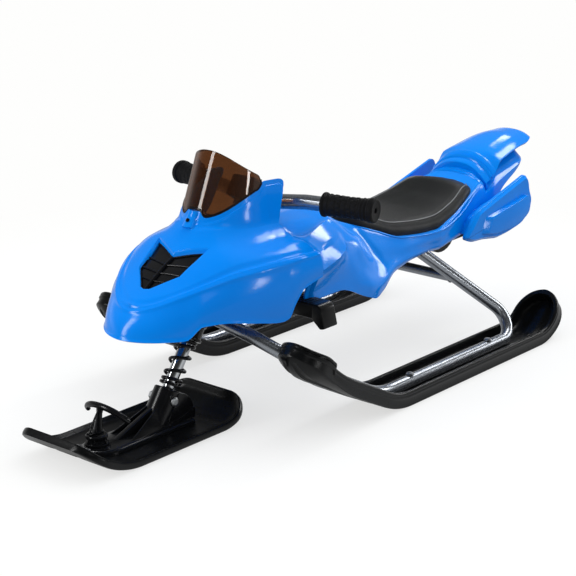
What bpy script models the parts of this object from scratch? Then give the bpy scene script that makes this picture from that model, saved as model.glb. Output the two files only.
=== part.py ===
# Steering sled: two fixed rear skis under a bent tube frame, a sprung and
# steered front ski, a plastic cowl with windshield, and a padded seat.
# Metres, +Z up, -Y is the front, X = 0 is the plane of symmetry, Z = 0 is the snow.
import math

import bmesh
import bpy
import numpy as np
from mathutils import Matrix, Vector

for old in list(bpy.data.objects):
    bpy.data.objects.remove(old, do_unlink=True)

# Clearances between neighbouring pieces
GAP = 0.0003
PATH_GAP = 0.0015
SHUT_GAP = 0.0012

# Frame tubes
TUBE_R = 0.010
TUBE_SIDES = 12
RAIL_X = 0.062
RAIL_Z = 0.176
RAIL_JOINT_Y = 0.080
RAIL_BEND_Y = -0.120
RAIL_BEND_R = 0.080
LEG_TOP_Y = 0.147
LEG_FOOT_Y = 0.314
CROSSBAR_R = 0.008
CROSSBAR_Y = 0.212
PEG_BAR_R = 0.008
PEG_BAR_Y = -0.175
PEG_BAR_HALF = 0.142
PEG_HALF = 0.016
PEG_ROOF = 0.003
LOWER_KNEE_X = 0.100
LOWER_KNEE_Y = -0.277
LOWER_KNEE_Z = 0.139
LOWER_DROP_Y = -0.236

# Rear skis
SKI_X = 0.181
SKI_HALF = 0.0395
SKI_FRONT_Y = -0.308
SKI_REAR_Y = 0.389
SKI_FLOOR = 0.0060
SKI_WALL_T = 0.0040
SKI_WALL_H = 0.024
SKI_TIP_WALL_H = 0.047
SKI_CURL_Y = -0.055
SKI_CURL_R = 0.150
SKI_CURL_DEG = 27.0
SKI_TOE = 0.012
SKI_TOE_RUN = 0.050
SKI_TAIL_Y = 0.300
SKI_TAIL_R = 0.080
SKI_TAIL_DEG = 40.0
RUNNER_GROOVE = 0.0022
SKI_BOLT_FRONT_Y = -0.010
SKI_BOLT_REAR_Y = 0.200

# Steering axis: it passes the front ski's pivot bolt and leans back
PIVOT_Y = -0.355
PIVOT_Z = 0.044
RAKE_DEG = 33.7
HEAD_LOW = 0.118
HEAD_TOP = 0.232
HEAD_R = 0.0175
LOWER_JOIN = 0.136
RAIL_JOIN = 0.178
STEER_R = 0.0125
STEER_WALL = 0.0026
STEER_TOP = 0.3385
SHAFT_R = 0.0092
SHAFT_TOP = 0.165
SHAFT_FOOT = -0.012
BUSH_FLANGE = 0.0030
BUSH_FLANGE_R = 0.0195
BUSH_DEPTH = 0.014
SPRING_LOW = 0.0245
SPRING_HIGH = 0.092
SPRING_R = 0.0135
SPRING_WIRE_R = 0.0021
SPRING_TURNS = 5
SPRING_POINTS = 10
SEAT_RING_R = 0.0160
SEAT_RING_T = 0.0040
CUP_R = 0.0175
CUP_FLANGE_R = 0.0195

# Handlebar
BAR_R = 0.0110
BAR_T = 0.3265
BAR_SETBACK = 0.030
BAR_MID_HALF = 0.030
BAR_KNEE_X = 0.082
BAR_END_X = 0.1865
BAR_SWEEP_DEG = 12.5
BAR_RISE = 0.005
GRIP_R = 0.0160
GRIP_LENGTH = 0.094
GRIP_FLANGE_R = 0.0180
GRIP_FLANGE_T = 0.004
GRIP_HOLE_R = 0.004
CLAMP_HALF = 0.022
CLAMP_WALL = 0.006

# Front ski
FRONT_HALF = 0.078
FRONT_NOSE_Y = -0.575
FRONT_TAIL_Y = -0.250
FRONT_PLATE = 0.0050
FRONT_RIM = 0.0030
FRONT_CORNER = 0.036
FRONT_CURL_Y = -0.475
FRONT_CURL_R = 0.130
FRONT_CURL_DEG = 42.0
FRONT_HEEL_Y = -0.312
FRONT_HEEL_R = 0.075
FRONT_HEEL_DEG = 44.0

# Front ski bracket
BASE_HALF = 0.030
BASE_FRONT_Y = -0.530
BASE_REAR_Y = -0.322
BASE_T = 0.0055
HOUSING_HALF = 0.020
HOUSING_TOP = 0.0145
HOUSING_DISC_R = 0.037
GUSSET_HALF = 0.0045
GUSSET_FRONT_Y = -0.452
GUSSET_TOP = 0.0
BOLT_R = 0.0040
BOLT_HEAD_R = 0.0068
BOLT_HEAD_T = 0.0030

# Tow gear on the front ski
REEL_Y = -0.488
REEL_R = 0.0135
REEL_TOP = 0.033
HANDLE_BAR_R = 0.0042
HANDLE_HALF = 0.040
HANDLE_Y = -0.480
HANDLE_Z = 0.070
HANDLE_STEM_R = 0.0048
HANDLE_BRACE_R = 0.0014
REEL_SEAT_Z = 0.0160
REEL_SEAT_R = 0.0185
BASE_BOLT_Y = -0.519
BASE_BOLT_X = 0.0105

# Cowl
LIFT = 0.008
SHELL = 0.0030
CREASE_HALF = 0.132
CREASE_REAR_Y = -0.145
CREASE_LENGTH = 0.273
COWL_REAR_Y = -0.168
NOSE_Y = CREASE_REAR_Y - CREASE_LENGTH
PLAN_POWER = 1.8
CREASE_NOSE_Z = 0.187
CREASE_CHEEK_Y = NOSE_Y + CREASE_LENGTH * 0.154
CREASE_CHEEK_Z = 0.209
CREASE_SIDE_Y = NOSE_Y + CREASE_LENGTH * 0.432
CREASE_SIDE_Z = 0.230
CREASE_REAR_Z = 0.236
HOOD_MID_Y = NOSE_Y + CREASE_LENGTH * 0.125
HOOD_MID_Z = 0.212
HOOD_BROW_Y = NOSE_Y + CREASE_LENGTH * 0.297
HOOD_BROW_Z = 0.243
HOOD_TOP_Y = NOSE_Y + CREASE_LENGTH * 0.476
HOOD_TOP_Z = 0.266
HOOD_REAR_Z = 0.262
SKIRT_NOSE_OUT = 0.025
SKIRT_SIDE_OUT = 0.005
SKIRT_NOSE_Z = 0.148
SKIRT_STEP_Y = NOSE_Y + CREASE_LENGTH * 0.157
SKIRT_STEP_Z = 0.168
SKIRT_CORNER_Y = -0.238
SKIRT_CORNER_Z = 0.152
SKIRT_NOTCH_Y = -0.213
SKIRT_NOTCH_Z = 0.183
SKIRT_REAR_Z = 0.202

# Cockpit collar and windshield
COLLAR_HALF = 0.0600
COLLAR_DEPTH = 0.0870
COLLAR_REAR_Y = -0.200
COLLAR_REF_Z = 0.300
COLLAR_LEAN = 0.40
COLLAR_TAPER = 0.12
COLLAR_WALL = 0.0035
COLLAR_EAR = 0.028
EAR_LEAN = 0.42
COLLAR_FRONT_Z = 0.291
COLLAR_SIDE_Z = 0.322
EAR_Z = 0.336
BOSS_Z = 0.299
BOSS_R = 0.012
BOSS_SCREW_R = 0.0030
COWL_POST_X = 0.086
GASKET_H = 0.0022
SHIELD_T = 0.0025
SHIELD_TOP_Z = 0.381
SHIELD_REAR_Z = 0.341

# Vent
VENT_TOP_HALF = 0.040
VENT_TOP_Y = NOSE_Y + CREASE_LENGTH * 0.377
VENT_LOW_HALF = 0.034
VENT_LOW_Y = NOSE_Y + CREASE_LENGTH * 0.231
VENT_BROW_Y = NOSE_Y + CREASE_LENGTH * 0.308
VENT_POINT_Y = NOSE_Y + CREASE_LENGTH * 0.117
VENT_SINK = 0.007
VENT_WALL = 0.0020

# Rear body
BODY_FRONT_Y = COWL_REAR_Y + SHUT_GAP
BODY_REAR_Y = 0.510
TANK_Z = 0.258
TANK_HALF = 0.062
TANK_REAR_Y = -0.030
KNEE_HALF = 0.118
KNEE_BULGE = 0.014
LIP_OUT = 0.0045
SCOOP_X = 0.066
SCOOP_Z = 0.2435
SCOOP_RISE = 0.0085
TANK_SHOULDER_X = 0.038
TANK_SHOULDER_Z = 0.255
WAIST_Y = 0.190
WAIST_HALF = 0.088
WAIST_Z = 0.190
RIM_REAR_Y = 0.360
RIM_REAR_HALF = 0.052
RIM_REAR_Z = 0.240
SADDLE_STEP = 0.006
TAIL_HALF = 0.036

# Seat pad
PAD_FRONT_Y = -0.034
PAD_REAR_Y = 0.346
PAD_MARGIN = 0.0075
PAD_SIDE = 0.022
PAD_CROWN = 0.007

# Tail spoiler and side pods
SPOILER_FRONT_Y = 0.362
SPOILER_REAR_Y = 0.566
SPOILER_T = 0.0040
SPOILER_CREST_Z = 0.289
SPOILER_FRONT_Z = 0.257
POD_BASE_X = 0.0835
POD_FACE_X = 0.110
POD_PLATE_X = 0.1035
POD_CHAMFER = 0.0055
POD_SLANT = 0.015
POD_PIN_R = 0.004
POD_PIN_REACH = 0.014
POD_PINS = ((0.285, 0.178), (0.350, 0.190))

AXIS = Vector((0.0, math.sin(math.radians(RAKE_DEG)), math.cos(math.radians(RAKE_DEG))))
BACK = Vector((0.0, AXIS.z, -AXIS.y))
PIVOT = Vector((0.0, PIVOT_Y, PIVOT_Z))
SIDE = Vector((1.0, 0.0, 0.0))
SHAFT_CLEAR = SHAFT_R + GAP
STEER_BORE = STEER_R - STEER_WALL
CHANNEL_Z = SKI_FLOOR + TUBE_R + GAP * 2.5


# Materials

def material(name, colour, roughness, metallic=0.0, alpha=1.0):
    mat = bpy.data.materials.get(name)
    if mat is None:
        mat = bpy.data.materials.new(name)
        mat.use_nodes = True
        shader = mat.node_tree.nodes["Principled BSDF"]
        shader.inputs["Base Color"].default_value = (*colour, 1.0)
        shader.inputs["Roughness"].default_value = roughness
        shader.inputs["Metallic"].default_value = metallic
        shader.inputs["Alpha"].default_value = alpha
        mat.diffuse_color = (*colour, alpha)
    return mat


BLUE = ("blue_plastic", (0.0, 0.20, 0.85), 0.22, 0.0)
BLACK = ("black_plastic", (0.012, 0.012, 0.013), 0.42, 0.0)
STEEL = ("painted_tube", (0.36, 0.37, 0.39), 0.34, 0.85)
CHROME = ("chrome_shaft", (0.75, 0.76, 0.78), 0.12, 1.0)
RUBBER = ("grip_rubber", (0.010, 0.010, 0.011), 0.80, 0.0)
PAD = ("seat_vinyl", (0.016, 0.016, 0.018), 0.55, 0.0)
SMOKE = ("smoke_shield", (0.10, 0.05, 0.03), 0.08, 0.0)
BOLT = ("bolt_steel", (0.55, 0.56, 0.58), 0.25, 1.0)


# Mesh helpers

def finish(name, bm, look, smooth_deg=35.0, guide=False):
    bmesh.ops.remove_doubles(bm, verts=bm.verts, dist=1e-6)
    bmesh.ops.dissolve_degenerate(bm, edges=bm.edges, dist=1e-6)
    bmesh.ops.recalc_face_normals(bm, faces=bm.faces)
    mesh = bpy.data.meshes.new(name)
    bm.to_mesh(mesh)
    bm.free()
    obj = bpy.data.objects.new(name, mesh)
    bpy.context.scene.collection.objects.link(obj)
    mesh.materials.append(material(*look))
    mesh.shade_smooth()
    mesh.set_sharp_from_angle(angle=math.radians(smooth_deg))
    if guide:
        obj.hide_render = True
        obj.display_type = "WIRE"
    return obj


def skin(rows, closed_rows=False, close_last=False, caps=False):
    """Quads between rows of points; a row may close on itself."""
    bm = bmesh.new()
    made = [[bm.verts.new(p) for p in row] for row in rows]
    pairs = list(zip(made[:-1], made[1:]))
    if close_last:
        pairs.append((made[-1], made[0]))
    for low, high in pairs:
        count = len(low)
        last = count if closed_rows else count - 1
        for i in range(last):
            j = (i + 1) % count
            bm.faces.new((low[i], low[j], high[j], high[i]))
    if caps:
        bm.faces.new(list(reversed(made[0])))
        bm.faces.new(made[-1])
    return bm


def face_away_from(obj, point):
    """Turns an open sheet so that its faces look away from a point."""
    mesh = obj.data
    score = 0.0
    for poly in mesh.polygons:
        score += poly.area * poly.normal.dot(poly.center - Vector(point))
    if score < 0.0:
        mesh.flip_normals()


def thicken(obj, thickness):
    mod = obj.modifiers.new("thickness", "SOLIDIFY")
    mod.thickness = thickness
    mod.offset = -1.0
    mod.use_even_offset = True
    mod.use_quality_normals = True


def combine(obj, other, operation):
    mod = obj.modifiers.new(operation.lower() + "_" + other.name, "BOOLEAN")
    mod.operation = operation
    mod.solver = "EXACT"
    mod.object = other
    other.hide_render = True
    other.display_type = "WIRE"


def frame_along(direction):
    z = Vector(direction).normalized()
    x = SIDE if abs(z.dot(SIDE)) < 0.9 else Vector((0.0, 1.0, 0.0))
    y = z.cross(x).normalized()
    x = y.cross(z).normalized()
    return x, y, z


def turned(name, profile, look, start=PIVOT, direction=AXIS, steps=20, closed=False, guide=False):
    """A turned piece: profile points are (radius, distance along the axis)."""
    x, y, z = frame_along(direction)
    bm = bmesh.new()
    rings = []
    for radius, along in profile:
        centre = Vector(start) + z * along
        if radius < 1e-7:
            rings.append([bm.verts.new(centre)])
            continue
        ring = []
        for k in range(steps):
            a = 2.0 * math.pi * k / steps
            ring.append(bm.verts.new(centre + (x * math.cos(a) + y * math.sin(a)) * radius))
        rings.append(ring)
    pairs = list(zip(rings[:-1], rings[1:]))
    if closed:
        pairs.append((rings[-1], rings[0]))
    for low, high in pairs:
        for k in range(steps):
            j = (k + 1) % steps
            if len(low) == 1:
                bm.faces.new((low[0], high[j], high[k]))
            elif len(high) == 1:
                bm.faces.new((low[k], low[j], high[0]))
            else:
                bm.faces.new((low[k], low[j], high[j], high[k]))
    return finish(name, bm, look, guide=guide)


def rod(name, start, end, radius, look, steps=20, guide=False):
    length = (Vector(end) - Vector(start)).length
    profile = [(0.0, 0.0), (radius, 0.0), (radius, length), (0.0, length)]
    return turned(name, profile, look, start, Vector(end) - Vector(start), steps, guide=guide)


def filleted(corners, step_deg=11.0):
    """Points along straight runs joined by arcs; a corner is (point, bend radius)."""
    points = [Vector(corners[0][0])]
    for k in range(1, len(corners) - 1):
        here = Vector(corners[k][0])
        before = (Vector(corners[k - 1][0]) - here).normalized()
        after = (Vector(corners[k + 1][0]) - here).normalized()
        turn = math.pi - before.angle(after)
        radius = corners[k][1]
        if turn < 1e-3 or radius <= 0.0:
            points.append(here)
            continue
        reach = radius * math.tan(turn / 2.0)
        middle = (before + after).normalized()
        centre = here + middle * (radius / math.cos(turn / 2.0))
        first = here + before * reach
        count = max(2, int(math.ceil(math.degrees(turn) / step_deg)))
        arm = first - centre
        normal = before.cross(after).normalized()
        for i in range(count + 1):
            spin = Matrix.Rotation(-turn * i / count, 3, normal)
            points.append(centre + spin @ arm)
    points.append(Vector(corners[-1][0]))
    kept = [points[0]]
    for p in points[1:]:
        if (p - kept[-1]).length > 2e-4:
            kept.append(p)
    return kept


def tube_mesh(points, radius, sides=TUBE_SIDES):
    """A round bar along points, with flat ends and no twist."""
    bm = bmesh.new()
    count = len(points)
    tangents = []
    for k in range(count):
        a = points[max(k - 1, 0)]
        b = points[min(k + 1, count - 1)]
        tangents.append((b - a).normalized())
    tangents[0] = (points[1] - points[0]).normalized()
    tangents[-1] = (points[-1] - points[-2]).normalized()
    x, y, z = frame_along(tangents[0])
    rings = []
    for k in range(count):
        if k:
            turn = tangents[k - 1].rotation_difference(tangents[k])
            x = turn @ x
        t = tangents[k]
        x = (x - t * x.dot(t)).normalized()
        y = t.cross(x)
        stretch = 1.0
        if 0 < k < count - 1:
            half = (points[k] - points[k - 1]).angle(points[k + 1] - points[k]) / 2.0
            stretch = 1.0 / math.cos(half)
            bend = (points[k + 1] - points[k]).normalized() - (points[k] - points[k - 1]).normalized()
            bend = bend.normalized() if bend.length > 1e-6 else None
        ring = []
        for i in range(sides):
            a = 2.0 * math.pi * i / sides
            arm = (x * math.cos(a) + y * math.sin(a)) * radius
            if stretch > 1.0 and bend is not None:
                arm += bend * arm.dot(bend) * (stretch - 1.0)
            ring.append(bm.verts.new(points[k] + arm))
        rings.append(ring)
    for low, high in zip(rings[:-1], rings[1:]):
        for i in range(sides):
            j = (i + 1) % sides
            bm.faces.new((low[i], low[j], high[j], high[i]))
    bm.faces.new(list(reversed(rings[0])))
    bm.faces.new(rings[-1])
    return bm


def tube(name, points, radius, look, sides=TUBE_SIDES, guide=False):
    return finish(name, tube_mesh(points, radius, sides), look, guide=guide)


def prism(name, outline, low, high, look, axis="X", bevel=0.0, guide=False):
    """A flat outline pushed along X, Y or Z from low to high."""
    order = {"X": (1, 2, 0), "Y": (0, 2, 1), "Z": (0, 1, 2)}[axis]
    rows = []
    for level in (low, high):
        row = []
        for a, b in outline:
            p = [0.0, 0.0, 0.0]
            p[order[0]] = a
            p[order[1]] = b
            p[order[2]] = level
            row.append(Vector(p))
        rows.append(row)
    obj = finish(name, skin(rows, closed_rows=True, caps=True), look, guide=guide)
    if bevel > 0.0:
        add_bevel(obj, bevel)
    return obj


def add_bevel(obj, width, segments=1, angle_deg=40.0):
    mod = obj.modifiers.new("edge", "BEVEL")
    mod.width = width
    mod.segments = segments
    mod.limit_method = "ANGLE"
    mod.angle_limit = math.radians(angle_deg)


def box(name, centre, size, look, guide=False, turn=None):
    bm = bmesh.new()
    bmesh.ops.create_cube(bm, size=1.0)
    for v in bm.verts:
        p = Vector((v.co.x * size[0], v.co.y * size[1], v.co.z * size[2]))
        if turn is not None:
            p = turn @ p
        v.co = p + Vector(centre)
    return finish(name, bm, look, guide=guide)


def along_axis(t, back=0.0, side=0.0):
    return PIVOT + AXIS * t + BACK * back + SIDE * side


def smooth_value(pairs, at):
    """A smooth curve through (position, value) pairs, with no overshoot."""
    xs = [p[0] for p in pairs]
    ys = [p[1] for p in pairs]
    if at <= xs[0]:
        return ys[0]
    if at >= xs[-1]:
        return ys[-1]
    slopes = [(ys[i + 1] - ys[i]) / (xs[i + 1] - xs[i]) for i in range(len(xs) - 1)]
    tangents = [slopes[0]]
    for i in range(1, len(slopes)):
        a = slopes[i - 1]
        b = slopes[i]
        tangents.append(0.0 if a * b <= 0.0 else 2.0 * a * b / (a + b))
    tangents.append(slopes[-1])
    i = max(k for k in range(len(slopes)) if xs[k] <= at)
    h = xs[i + 1] - xs[i]
    u = (at - xs[i]) / h
    h00 = (1 + 2 * u) * (1 - u) ** 2
    h10 = u * (1 - u) ** 2
    h01 = u * u * (3 - 2 * u)
    h11 = u * u * (u - 1)
    return h00 * ys[i] + h10 * h * tangents[i] + h01 * ys[i + 1] + h11 * h * tangents[i + 1]


def ramp(at, start, end):
    u = min(max((at - start) / (end - start), 0.0), 1.0)
    return u * u * (3.0 - 2.0 * u)


def sign_word(sign):
    return "right" if sign > 0 else "left"


# Ski forms

class SkiPath:
    """Side view of a ski's underside: flat, with an arc and a straight at each end.

    The toe bends the last stretch of the nose further up.
    """

    def __init__(self, nose_y, curl_y, curl_r, curl_deg, heel_y, heel_r, heel_deg, tail_y, toe=0.0, toe_run=0.05):
        self.toe = toe
        self.toe_y = nose_y + toe_run
        self.toe_run = toe_run
        self.curl = (curl_y, curl_r, math.radians(curl_deg))
        self.heel = (heel_y, heel_r, math.radians(heel_deg))
        self.nose_y = nose_y
        self.tail_y = tail_y

    def height(self, y):
        return self.at(y)[0]

    def at(self, y):
        """Height and slope angle at a station (the angle is positive uphill to the rear)."""
        z, a = self.plain(y)
        over = max(self.toe_y - y, 0.0) / self.toe_run
        if over > 0.0:
            z += self.toe * over ** 2
            a = -math.atan(math.tan(-a) + 2.0 * self.toe * over / self.toe_run)
        return z, a

    def plain(self, y):
        for start, radius, angle, sign in ((*self.curl, -1.0), (*self.heel, 1.0)):
            run = (y - start) * sign
            if run <= 0.0:
                continue
            arc_run = radius * math.sin(angle)
            if run <= arc_run:
                a = math.asin(run / radius)
                return radius * (1.0 - math.cos(a)), sign * a
            rise = radius * (1.0 - math.cos(angle)) + (run - arc_run) * math.tan(angle)
            return rise, sign * angle
        return 0.0, 0.0

    def point(self, x, y, up):
        """A point at a height above the underside, square to it."""
        z, a = self.at(y)
        return Vector((x, y - up * math.sin(a), z + up * math.cos(a)))


def plan_half(y, front, rear, half, corner):
    """Half width of a plan with rounded corners."""
    reach = min(y - front, rear - y)
    if reach >= corner:
        return half
    reach = max(reach, 0.0)
    return half - corner + math.sqrt(max(corner ** 2 - (corner - reach) ** 2, 0.0))


def end_stations(front, rear, corner, middle):
    """Stations close together round both ends, and given ones between."""
    turns = [math.radians(a) for a in (8.0, 24.0, 42.0, 62.0, 90.0)]
    ys = [front + corner * (1.0 - math.cos(a)) for a in turns]
    ys += [y for y in middle if front + corner * 1.1 < y < rear - corner * 1.1]
    ys += [rear - corner * (1.0 - math.cos(a)) for a in reversed(turns)]
    return ys


# Frame tubes

def rear_ski_path():
    return SkiPath(SKI_FRONT_Y, SKI_CURL_Y, SKI_CURL_R, SKI_CURL_DEG,
                   SKI_TAIL_Y, SKI_TAIL_R, SKI_TAIL_DEG, SKI_REAR_Y, SKI_TOE, SKI_TOE_RUN)


def tube_route(sign):
    """Front joint on the head tube, down to the ski, along its channel, up the leg."""
    ski = rear_ski_path()
    x = sign * SKI_X
    drop = ski.point(x, LOWER_DROP_Y, CHANNEL_Z)
    bend_y = SKI_CURL_Y - SKI_CURL_R * math.tan(math.radians(SKI_CURL_DEG) / 2.0)
    bend_r = SKI_CURL_R - CHANNEL_Z
    head = along_axis(LOWER_JOIN)
    return [
        (head, 0.0),
        (Vector((sign * LOWER_KNEE_X, LOWER_KNEE_Y, LOWER_KNEE_Z)), 0.060),
        (drop, 0.030),
        (Vector((x, bend_y + CHANNEL_Z * math.tan(math.radians(SKI_CURL_DEG) / 2.0), CHANNEL_Z)), bend_r),
        (Vector((x, LEG_FOOT_Y, CHANNEL_Z)), 0.034),
        (Vector((sign * RAIL_X, LEG_TOP_Y, RAIL_Z)), 0.036),
        (Vector((sign * RAIL_X, RAIL_JOINT_Y, RAIL_Z)), 0.0),
    ]


def head_cutter(name):
    low = along_axis(HEAD_LOW - 0.05)
    high = along_axis(HEAD_TOP + 0.05)
    return rod(name, low, high, HEAD_R + GAP, STEEL, guide=True)


def rail_route(sign):
    """From the leg forwards under the seat, then inwards to the head tube."""
    x = sign * RAIL_X
    return [
        (Vector((x, RAIL_JOINT_Y - GAP, RAIL_Z)), 0.0),
        (Vector((x, RAIL_BEND_Y, RAIL_Z)), RAIL_BEND_R),
        (along_axis(RAIL_JOIN, side=sign * 0.0115), 0.0),
    ]


def peg_bar_height():
    """Height of the bar that lies under the seat rails."""
    points = filleted(rail_route(1))
    for a, b in zip(points[:-1], points[1:]):
        if (a.y - PEG_BAR_Y) * (b.y - PEG_BAR_Y) <= 0.0:
            rail = a.lerp(b, (PEG_BAR_Y - a.y) / (b.y - a.y))
            slope = math.atan2(abs(b.z - a.z), abs(b.y - a.y))
            return rail.z - (TUBE_R + PEG_BAR_R + GAP) / math.cos(slope)
    return RAIL_Z - TUBE_R - PEG_BAR_R - GAP


def build_frame():
    for sign in (-1, 1):
        word = sign_word(sign)
        main = tube("frame_tube_" + word, filleted(tube_route(sign)), TUBE_R, STEEL)
        combine(main, head_cutter("cope_low_" + word), "DIFFERENCE")
        rail = tube("seat_rail_" + word, filleted(rail_route(sign)), TUBE_R, STEEL)
        combine(rail, head_cutter("cope_rail_" + word), "DIFFERENCE")
    bore = STEER_R + GAP + 0.0019
    turned("head_tube", [(bore, HEAD_LOW), (HEAD_R, HEAD_LOW), (HEAD_R, HEAD_TOP), (bore, HEAD_TOP)],
           STEEL, closed=True)
    inner = STEER_R + GAP
    outer = bore - GAP
    low = HEAD_LOW - GAP
    turned("bush_lower", [(inner, low - BUSH_FLANGE), (BUSH_FLANGE_R, low - BUSH_FLANGE),
                          (BUSH_FLANGE_R, low), (outer, low), (outer, low + BUSH_DEPTH),
                          (inner, low + BUSH_DEPTH)], BLACK, closed=True)
    high = HEAD_TOP + GAP
    turned("bush_upper", [(inner, high + BUSH_FLANGE), (BUSH_FLANGE_R, high + BUSH_FLANGE),
                          (BUSH_FLANGE_R, high), (outer, high), (outer, high - BUSH_DEPTH),
                          (inner, high - BUSH_DEPTH)], BLACK, closed=True)
    # The crossbar runs between the two legs, coped to them
    legs = filleted(tube_route(1))
    top = legs[-1]
    for a, b in zip(legs[:-1], legs[1:]):
        if (a.y - CROSSBAR_Y) * (b.y - CROSSBAR_Y) <= 0.0 and b.z > a.z + 1e-4:
            u = (CROSSBAR_Y - a.y) / (b.y - a.y)
            top = a.lerp(b, u)
    bar = rod("rear_crossbar", Vector((-top.x, top.y, top.z)), top, CROSSBAR_R, STEEL, steps=12)
    for sign in (-1, 1):
        guide = tube("cope_bar_" + sign_word(sign), filleted(tube_route(sign)), TUBE_R + GAP, STEEL, guide=True)
        combine(bar, guide, "DIFFERENCE")
    z = peg_bar_height()
    rod("peg_bar", Vector((-PEG_BAR_HALF, PEG_BAR_Y, z)), Vector((PEG_BAR_HALF, PEG_BAR_Y, z)), PEG_BAR_R, STEEL,
        steps=12)


# Rear skis

def wall_height(y):
    return SKI_WALL_H + (SKI_TIP_WALL_H - SKI_WALL_H) * ramp(y, -0.120, SKI_FRONT_Y)


def build_rear_skis():
    ski = rear_ski_path()
    corner = SKI_HALF * 0.98
    middle = [-0.265, -0.235, -0.205, -0.180, -0.150, -0.122, -0.105, -0.088, -0.071, -0.055, 0.0,
              0.100, 0.200, 0.300, 0.318, 0.334, 0.350]
    for sign in (-1, 1):
        word = sign_word(sign)
        rows = []
        for y in end_stations(SKI_FRONT_Y, SKI_REAR_Y, corner, middle):
            w = plan_half(y, SKI_FRONT_Y, SKI_REAR_Y, SKI_HALF, corner)
            h = wall_height(y)
            groove = RUNNER_GROOVE * ramp(w, SKI_HALF * 0.45, SKI_HALF * 0.9)
            half = [(0.0, 0.0), (0.20, 0.0), (0.26, groove), (0.48, groove), (0.54, 0.0),
                    (0.90, 0.0), (0.98, 0.0025)]
            right = [(f * w, up) for f, up in half] + [(w, h)]
            section = right + [(-a, b) for a, b in reversed(right[1:])]
            rows.append([ski.point(sign * (SKI_X + a), y, b) for a, b in section])
        shell = finish("rear_ski_" + word, skin(rows, closed_rows=True, caps=True), BLACK)
        rows = []
        inner = corner - SKI_WALL_T
        front = SKI_FRONT_Y + SKI_WALL_T
        rear = SKI_REAR_Y - SKI_WALL_T
        for y in end_stations(front, rear, inner, middle):
            w = plan_half(y, front, rear, SKI_HALF - SKI_WALL_T, inner)
            h = wall_height(y) + 0.010
            section = [(w, h), (w, SKI_FLOOR + 0.002), (w * 0.94, SKI_FLOOR),
                       (-w * 0.94, SKI_FLOOR), (-w, SKI_FLOOR + 0.002), (-w, h)]
            rows.append([ski.point(sign * (SKI_X + a), y, b) for a, b in section])
        # The tube enters the channel through a notch in the inner wall
        route = tube_route(sign)
        over = route[1][0].lerp(route[2][0], 0.15)
        inside = route[1][0].lerp(route[2][0], 0.84)
        for k in range(3):
            rise = Vector((0.0, 0.0, 0.011 * k))
            notch = rod("tube_notch_%s_%d" % (word, k), over + rise, inside + rise, TUBE_R + PATH_GAP, BLACK,
                        steps=12, guide=True)
            combine(shell, notch, "DIFFERENCE")
        hollow = finish("ski_hollow_" + word, skin(rows, closed_rows=True, caps=True), BLACK, guide=True)
        combine(shell, hollow, "DIFFERENCE")
        for spot, y in (("front", SKI_BOLT_FRONT_Y), ("rear", SKI_BOLT_REAR_Y)):
            foot = Vector((sign * SKI_X, y, CHANNEL_Z + TUBE_R + GAP))
            turned("ski_bolt_" + word + "_" + spot,
                   [(0.0, 0.0), (0.0065, 0.0), (0.0065, 0.0012), (0.0048, 0.0030), (0.0, 0.0036)],
                   BOLT, foot, Vector((0, 0, 1)), steps=10)


# Foot pegs

def build_foot_pegs():
    bar_hole = PEG_BAR_R + GAP
    bar_z = peg_bar_height()
    for sign in (-1, 1):
        word = sign_word(sign)
        top = bar_z + PEG_BAR_R + PEG_ROOF
        low = bar_z - PEG_BAR_R - 0.003
        x_in = 0.098
        x_out = PEG_BAR_HALF + 0.005
        outline = [(sign * x_in, low), (sign * (x_out - 0.010), low), (sign * (x_out + 0.005), low - 0.014),
                   (sign * (x_out + 0.013), low - 0.011), (sign * (x_out + 0.006), top - 0.006),
                   (sign * x_out, top), (sign * x_in, top)]
        if sign < 0:
            outline.reverse()
        peg = prism("foot_peg_" + word, outline, PEG_BAR_Y - PEG_HALF, PEG_BAR_Y + PEG_HALF, BLACK, axis="Y",
                    bevel=0.0025)
        hole = rod("peg_hole_" + word, Vector((sign * 0.05, PEG_BAR_Y, bar_z)),
                   Vector((sign * (PEG_BAR_HALF + GAP), PEG_BAR_Y, bar_z)), bar_hole, BLACK, steps=12,
                   guide=True)
        combine(peg, hole, "DIFFERENCE")


# Cowl

def hood_centre(y):
    return smooth_value([
        (CREASE_REAR_Y - CREASE_LENGTH, CREASE_NOSE_Z + 0.004), (HOOD_MID_Y, HOOD_MID_Z),
        (HOOD_BROW_Y, HOOD_BROW_Z), (HOOD_TOP_Y, HOOD_TOP_Z), (CREASE_REAR_Y, HOOD_REAR_Z)], y) + LIFT


def crease_point(theta):
    x = CREASE_HALF * math.sin(theta) ** (2.0 / PLAN_POWER)
    y = CREASE_REAR_Y - CREASE_LENGTH * max(math.cos(theta), 0.0) ** (2.0 / PLAN_POWER)
    z = smooth_value([
        (CREASE_REAR_Y - CREASE_LENGTH, CREASE_NOSE_Z), (CREASE_CHEEK_Y, CREASE_CHEEK_Z),
        (CREASE_SIDE_Y, CREASE_SIDE_Z), (CREASE_REAR_Y - 0.060, CREASE_REAR_Z),
        (CREASE_REAR_Y, CREASE_REAR_Z)], y) + LIFT
    return Vector((x, y, z))


def hood_point(theta, share):
    """Hood surface: share 1 is the crease and 0 the centre line."""
    edge = crease_point(theta)
    full = ramp(edge.y, -0.425, -0.300)
    p = 2.0 + 0.9 * full
    q = 1.0 + 0.10 * full
    top = max(hood_centre(edge.y), edge.z + 0.0005)
    rise = (1.0 - share ** p) ** (1.0 / q)
    return Vector((edge.x * share, edge.y, edge.z + (top - edge.z) * rise))


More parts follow.
